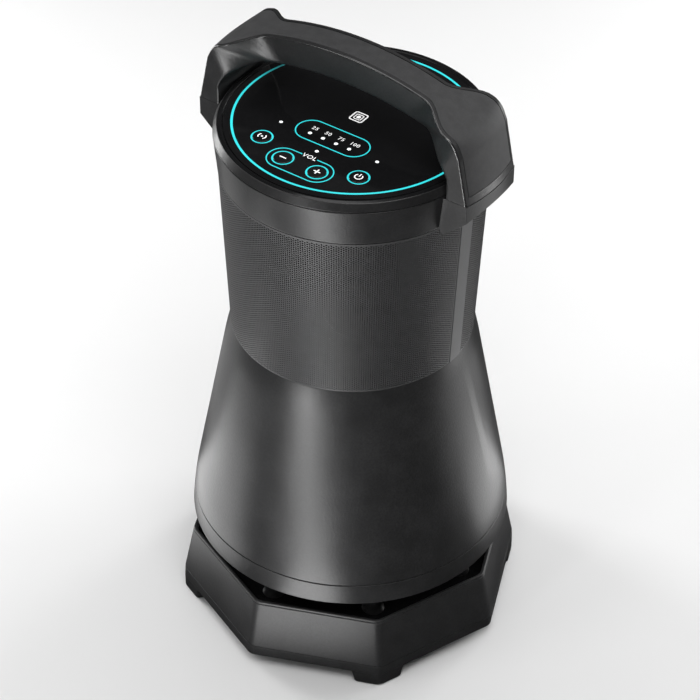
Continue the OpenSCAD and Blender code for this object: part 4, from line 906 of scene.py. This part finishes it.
class SPEAKER_OT_handle(SpeakerOperator):
    """Carrying handle: shell with a polished edge, soft grip let into it, and two brackets"""

    bl_idname = "speaker.handle"
    bl_label = "Handle"

    BAR = np.linspace(0, 1, 25)
    ELBOW = np.linspace(0, 1, 37)[1:]
    # Shares of the leg's length at which the grip, the pocket and the free inner face end
    GRIP_END = (SHOULDER_Z - GRIP_LOW_Z) / (SHOULDER_Z - LEG_Z)
    POCKET_END = (SHOULDER_Z - POCKET_LOW_Z) / (SHOULDER_Z - LEG_Z)
    STEP = (CROOK_Z - CLEAR_Z) / (CROOK_Z - LEG_Z)

    def make(self, sizes):
        chamfer, depth = sizes.chamfer / MM, sizes.grip_depth / MM
        legs = np.r_[
            0.08, 0.18, self.STEP, self.STEP + 1e-4, 0.4, 0.52, 0.64, 0.76, self.POCKET_END,
            self.POCKET_END + 1e-4, 0.92, 1.0,
        ]
        along = np.r_[self.BAR * 0, self.ELBOW * 0, legs]
        pocket = np.where(along > self.POCKET_END + 5e-5, 0.0, depth)
        side, marks = self.shell_section(chamfer)
        whole = self.both_sides(self.sections(self.rails(legs), side, pocket, along > self.STEP + 5e-5))
        piece(
            "handle_moulding", lofted(whole), "cabinet", "shell_plastic", ["handle_shell"],
            ["shell_plastic", "edge_polish"], picks=np.r_[np.tile(marks, len(whole) - 1), 0, 0], sharp=38.0,
        )
        rails = self.rails(np.linspace(0, self.GRIP_END, 9)[1:])
        rings = self.sections(rails, self.grip_section(), np.full(len(rails[0]), depth))
        piece("grip_pad", lofted(self.both_sides(rings)), "cabinet", "soft_grip", ["handle_grip"], sharp=50.0)
        for side, turn in (("right", 0.0), ("left", math.pi)):
            piece(
                f"ear_{side}", moved(self.ear(), turn), "cabinet", "shell_plastic", [f"handle_bracket_{side}"],
                sharp=30.0, soften=sizes.ear_round / MM,
            )

    def rails(self, legs):
        """Outer and inner rail in the XZ plane, row for row: bar, elbow and leg.

        The bar lies between two circles of radius 221 and 240, the elbow is a bend, the leg is straight.
        The third array is 0 in the bar, 1 in the leg and rises softly in the elbow."""
        def arch(x):
            return np.column_stack([x, HANDLE_Z - ARCH_R + np.sqrt(ARCH_R**2 - x * x)])

        def under(x):
            return np.column_stack([x, HANDLE_Z - BAR_T - UNDER_R + np.sqrt(UNDER_R**2 - x * x)])

        shoulder = np.array([LEG_R - LEG_LEAN * (SHOULDER_Z - LEG_Z), SHOULDER_Z])
        crook = np.array([LEG_INNER_X, CROOK_Z])
        outer_leg = shoulder + legs[:, None] * (np.array([LEG_R, LEG_Z]) - shoulder)
        inner_leg = crook + legs[:, None] * (np.array([LEG_INNER_X, LEG_Z]) - crook)
        over_bar, under_bar = arch(BAR_X * self.BAR), under(UNDER_X * self.BAR)
        outer = np.concatenate([
            over_bar, bend(over_bar[-1], (95.3, 428.4), shoulder, self.ELBOW), outer_leg,
        ])
        inner = np.concatenate([
            under_bar, bend(under_bar[-1], (82.5, 415.5), crook, self.ELBOW), inner_leg,
        ])
        legness = np.r_[self.BAR * 0, smoothstep(self.ELBOW), np.ones(len(legs))]
        return outer, inner, legness

    def shell_section(self, chamfer):
        """One side of the shell's section, and a mark for each face of the ring that is polished.

        Pocket floor and groove, flat band, soft chamfer, side, inner edge and inner face, each point as
        its distance in from the edge and its depth."""
        c = chamfer
        side = [
            (0.0, "pocket"), (0.25, "pocket"), (0.5, "pocket"), (0.75, "pocket"), (POCKET_IN, "pocket"),
            (POCKET_IN, 0.0), (3.0, 0.0), (c * 1.25, 0.0), (c, 0.0), (c * 0.55, c * 0.12), (c * 0.12, c * 0.55),
            (0.0, c), (0.0, c * 1.3), (0.0, "low 2.5"), (0.0, "low 0.9"), (0.25, "low 0.25"), (0.9, "low 0"),
            (1.3, "low 0"), (0.6, "floor"), (0.3, "floor"), (0.0, "floor"),
        ]
        marks = [int(8 <= k <= 10) for k in range(len(side))]
        return side, marks[:-1] + marks[-2::-1]

    def grip_section(self):
        """One side of the grip's section: flush face with a soft edge, and the face that lies in the pocket."""
        return [
            (0.0, "face"), (0.25, "face"), (0.5, "face"), (0.75, "face"), (GRIP_IN, 0.0), (3.75, 0.06),
            (3.56, 0.25), (3.5, 0.6), (3.5, "pocket"), (0.6, "back"), (0.3, "back"), (0.0, "back"),
        ]

    def sections(self, rails, side, pocket, clear=None):
        """Section rings (rows, points, 3): depth d lies d along the line from the outer to the inner rail.

        The outer face of a leg sags by r - sqrt(r^2 - y^2), and below the bezel the inner face keeps clear
        of the housing: x = sqrt(90.6^2 - y^2). A word as a depth stands for a face of the section."""
        outer, inner, legness = rails
        rules = [(1, *rule) for rule in side] + [(-1, *rule) for rule in side[-2:0:-1]]
        span = inner - outer
        thick = np.linalg.norm(span, axis=1)
        rings = []
        for sign, inset, rule in rules:
            kind = rule if isinstance(rule, str) else "at"
            if kind in ("pocket", "face"):
                depth = pocket.copy() if kind == "pocket" else 0 * thick
            elif kind == "back":
                depth = pocket - 0.05
            elif kind == "floor":
                depth = thick.copy()
            elif kind.startswith("low"):
                depth = thick - float(kind.split()[1])
            else:
                depth = np.full(len(thick), float(rule))
            spot = outer + span * (depth / thick)[:, None]
            w = half_width(spot[:, 0])
            if kind in ("floor", "back", "face") or (kind == "pocket" and inset < 1):
                y = sign * (w - {"pocket": POCKET_IN, "floor": FLOOR_IN}.get(kind, GRIP_IN)) * inset
            else:
                y = sign * (w - inset)
            r = LEG_R - LEG_LEAN * (spot[:, 1] - LEG_Z)
            x = spot[:, 0] - legness * (r - np.sqrt(r * r - y * y)) * (1 - depth / thick)
            if clear is not None:
                near = clear & (depth > thick - 3)
                x = np.where(near, np.maximum(x, np.sqrt(CLEAR_R**2 - y * y) + thick - depth), x)
            rings.append(np.stack([x, y, spot[:, 1]], -1))
        return np.stack(rings, 1)

    def both_sides(self, rings):
        """Rows of the right half, led on from their mirror image in x."""
        left = rings[:0:-1] * np.array([-1, 1, 1])
        return np.concatenate([left, rings])

    def ear(self):
        """Sections across Y: inner edge on the housing, top at the seam, outer edge on a cylinder.

        The underside rises from 358.5 at x = 86 to 376.5 at x = 106.4."""
        slope = (KNEE_Z - EAR_LOW_Z) / (BRACKET_R - EAR_LOW_R)
        rows = []
        for y in np.linspace(-EAR_HALF, EAR_HALF, 45):
            def within(z):
                r = np.where(z > GRILLE_TOP_Z, band_r(z) + 0.1, grille_r(z) + 0.6)
                return np.sqrt(r * r - y * y)

            out = math.sqrt(BRACKET_R**2 - y * y)
            knee = EAR_LOW_Z + (out - EAR_LOW_R) * slope
            near = float(within(np.array(GRILLE_TOP_Z - 1)))
            low = max(EAR_LOW_Z, EAR_LOW_Z + (near - EAR_LOW_R) * slope)
            low_x = EAR_LOW_R + (low - EAR_LOW_Z) / slope
            z = np.array([low, GRILLE_TOP_Z, GRILLE_TOP_Z + 0.01, 368, 374, 380, EAR_TOP_Z])
            x = within(z)
            x[0] = max(x[0], low_x - 0.01)
            outside = [(out, EAR_TOP_Z), (out, 380), (out, knee), (low_x + 0.3, low + 0.01)]
            ring = np.concatenate([np.column_stack([x, z]), outside])
            rows.append(np.column_stack([ring[:, 0], np.full(len(ring), y), ring[:, 1]]))
        return lofted(np.array(rows))


# ---------------------------------------------------------------- stage


class SPEAKER_OT_stage(bpy.types.Operator):
    """Pale floor, soft studio lights and the camera"""

    bl_idname = "speaker.stage"
    bl_label = "Stage"

    AZIMUTH, ELEVATION, ROLL = math.radians(34.7), math.radians(39.975), math.radians(0.62)
    DISTANCE, TARGET = 1.78389, Vector((0, 0, 0.20216))

    def execute(self, context):
        studio = context.scene.speaker_studio
        self.floor(studio)
        self.world(context.scene, studio)
        self.camera(context.scene)
        self.lights(studio)
        context.scene.view_settings.view_transform = "Standard"
        context.scene.view_settings.look = "None"
        return {"FINISHED"}

    def floor(self, studio):
        mesh, side = bpy.data.meshes.new("floor"), 4.0
        corners = [(x * side, y * side, 0) for x, y in ((-1, -1), (1, -1), (1, 1), (-1, 1))]
        mesh.from_pydata(corners, [], [(0, 1, 2, 3)])
        floor = placed("floor", mesh)
        finish = Finish("floor_paper")
        shade = studio.floor_shade
        finish.colour(finish.shades(finish.noise(60.0), (shade * 0.995,) * 3, (shade,) * 3))
        finish.shine(Roughness=0.9, Specular_IOR_Level=0.1)
        mesh.materials.append(finish.material)
        floor.visible_glossy = False

    def world(self, scene, studio):
        """White past the floor's edge, and a weak even light on everything."""
        world = bpy.data.worlds.new("studio")
        world.use_nodes = True
        back = world.node_tree.nodes["Background"]
        back.inputs["Color"].default_value = (1, 1, 1, 1)
        ray = world.node_tree.nodes.new("ShaderNodeLightPath")
        mix = world.node_tree.nodes.new("ShaderNodeMapRange")
        mix.inputs["To Min"].default_value = studio.ambient
        world.node_tree.links.new(ray.outputs["Is Camera Ray"], mix.inputs["Value"])
        world.node_tree.links.new(mix.outputs[0], back.inputs["Strength"])
        scene.world = world

    def camera(self, scene):
        a, e, r = self.AZIMUTH, self.ELEVATION, self.ROLL
        back = Vector((math.sin(a) * math.cos(e), -math.cos(a) * math.cos(e), math.sin(e)))
        x = Vector((0, 0, 1)).cross(back).normalized()
        y = back.cross(x)
        right, up = x * math.cos(r) + y * math.sin(r), y * math.cos(r) - x * math.sin(r)
        data = bpy.data.cameras.new("camera")
        data.lens, data.sensor_width = 134.97, 36.0
        data.shift_x, data.shift_y = -0.003, 0.0037
        data.clip_start, data.clip_end = 0.05, 50.0
        camera = placed("camera", data)
        turn = Matrix((right, up, back)).transposed().to_4x4()
        camera.matrix_world = Matrix.Translation(self.TARGET + back * self.DISTANCE) @ turn
        scene.camera = camera

    def lights(self, studio):
        k = studio.light_level
        # name, azimuth from the camera to the right, elevation, distance, width, height, luminance
        rows = [
            ("side_strip", 110, 15, 1.3, 0.5, 0.8, 4.8),
            ("far_strip", 135, 15, 1.3, 0.4, 0.8, 6.5),
            ("rim_strip", -125, 12, 1.2, 0.35, 0.9, 11.0),
            ("front_strip", -38, 10, 1.2, 0.14, 0.6, 8.0),
            ("high_box", -68, 42, 1.3, 0.4, 0.4, 3.8),
            ("front_box", 10, 60, 1.8, 1.0, 0.8, 5.0),
            ("overhead", 150, 80, 1.8, 1.6, 1.6, 2.0),
        ]
        for name, azimuth, elevation, distance, width, height, level in rows:
            self.softbox(name, azimuth, elevation, distance, width, height, level * k)
        # name, azimuth, distance from the middle, width, depth, luminance
        cards = [
            ("streak_far", -36, 0.9, 0.22, 0.5, 23.0),
            ("streak_middle", -28, 0.5, 0.14, 0.26, 7.0),
            ("streak_near", -20, 0.27, 0.1, 0.2, 8.5),
            ("right_far", 95, 1.0, 0.3, 0.5, 7.0),
            ("right_middle", 95, 0.6, 0.4, 0.6, 0.9),
            ("right_near", 100, 0.29, 0.16, 0.16, 3.5),
            ("left_far", -120, 0.7, 0.3, 0.9, 0.6),
            ("left_near", -92, 0.28, 0.22, 0.22, 3.0),
        ]
        for name, azimuth, distance, width, depth, level in cards:
            self.card(name, azimuth, distance, width, depth, level * k)

    def card(self, name, azimuth, distance, width, depth, level):
        """A bright card lying on the floor, its long side pointing at the speaker."""
        a = math.radians(azimuth) + self.AZIMUTH - math.pi / 2
        turn = Matrix.Rotation(a, 3, "Z") @ Matrix.Rotation(math.pi, 3, "X")
        self.area(name, (math.cos(a) * distance, math.sin(a) * distance, 0.004), turn, depth, width, level)

    def softbox(self, name, azimuth, elevation, distance, width, height, level):
        """A bright sheet aimed at the speaker's middle."""
        a = math.radians(azimuth) + self.AZIMUTH - math.pi / 2
        e = math.radians(elevation)
        way = Vector((math.cos(a) * math.cos(e), math.sin(a) * math.cos(e), math.sin(e)))
        self.area(name, self.TARGET + way * distance, way.to_track_quat("Z", "Y"), width, height, level)

    def area(self, name, spot, turn, width, height, level):
        """An area light, its power pi times its area times its luminance."""
        data = bpy.data.lights.new(name, "AREA")
        data.shape, data.size, data.size_y = "RECTANGLE", width, height
        data.energy = math.pi * width * height * level
        light = placed(name, data)
        light.location, light.rotation_euler = spot, turn.to_euler()
        light.visible_camera = False


# ---------------------------------------------------------------- sizes, panel, main


def length(name, description, default, low, high):
    return FloatProperty(
        name=name, description=description, default=default * MM, min=low * MM, max=high * MM,
        subtype="DISTANCE", unit="LENGTH", precision=5,
    )


class SpeakerSizes(bpy.types.PropertyGroup):
    """Sizes that a user may change"""

    base_corner: length("Base corner", "Radius of the base's upright corners", 8, 0.5, 12)
    rim_round: length("Rim", "Roundness of the base's upper edge", 0.65, 0.1, 1)
    lip_round: length("Lip", "Roundness of the cabinet's edges", 0.5, 0.1, 1)
    seam_gap: length("Seam", "Gap at the seams between parts", 0.5, 0.1, 0.8)
    hole_pitch: length("Hole pitch", "Distance between the grille's holes", 1.74, 1.4, 4)
    hole_radius: length("Hole radius", "Radius of the grille's holes", 0.62, 0.3, 1.2)
    chamfer: length("Handle edge", "Width of the handle's polished edge", 0.9, 0.4, 2.5)
    grip_depth: length("Grip depth", "Thickness of the soft grip", 1.4, 0.8, 2)
    ear_round: length("Bracket edge", "Roundness of the brackets' edges", 0.6, 0.1, 1.5)


def shade(name, description, default):
    return FloatVectorProperty(
        name=name, description=description, default=default, subtype="COLOR", min=0, max=1
    )


def number(name, description, default, low, high):
    return FloatProperty(name=name, description=description, default=default, min=low, max=high)


class SpeakerColours(bpy.types.PropertyGroup):
    """Colours that a user may change"""

    shell: shade("Shell", "Colour of the charcoal plastic", (0.017, 0.017, 0.0175))
    grip: shade("Grip", "Colour of the soft grip", (0.035, 0.035, 0.036))
    light: shade("Light", "Colour of the lit lines", (0.035, 0.66, 0.7))


class SpeakerStudio(bpy.types.PropertyGroup):
    """Floor and lights"""

    floor_shade: number("Floor", "How pale the floor is", 0.8, 0.1, 1)
    ambient: number("Ambient", "Strength of the light from all round", 0.035, 0, 2)
    light_level: number("Lights", "Strength of the studio lights", 1.0, 0, 5)


STEPS = (
    SPEAKER_OT_finishes, SPEAKER_OT_base, SPEAKER_OT_body, SPEAKER_OT_grille, SPEAKER_OT_top,
    SPEAKER_OT_buttons, SPEAKER_OT_handle, SPEAKER_OT_stage,
)
GROUPS = {"speaker_sizes": SpeakerSizes, "speaker_colours": SpeakerColours, "speaker_studio": SpeakerStudio}


class SPEAKER_PT_panel(bpy.types.Panel):
    """Steps and settings of the party speaker"""

    bl_idname = "SPEAKER_PT_panel"
    bl_label = "Party speaker"
    bl_space_type = "VIEW_3D"
    bl_region_type = "UI"
    bl_category = "Speaker"

    def draw(self, context):
        for step in STEPS:
            self.layout.operator(step.bl_idname)
        for name, group in GROUPS.items():
            box = self.layout.box()
            for key in group.__annotations__:
                box.prop(getattr(context.scene, name), key)


CLASSES = (*GROUPS.values(), *STEPS, SPEAKER_PT_panel)


def register():
    for cls in CLASSES:
        bpy.utils.register_class(cls)
    for name, group in GROUPS.items():
        setattr(bpy.types.Scene, name, PointerProperty(type=group))


def unregister():
    for name in GROUPS:
        delattr(bpy.types.Scene, name)
    for cls in reversed(CLASSES):
        bpy.utils.unregister_class(cls)


def main():
    register()
    for step in STEPS:
        family, name = step.bl_idname.split(".")
        getattr(getattr(bpy.ops, family), name)()


if __name__ == "__main__":
    main()
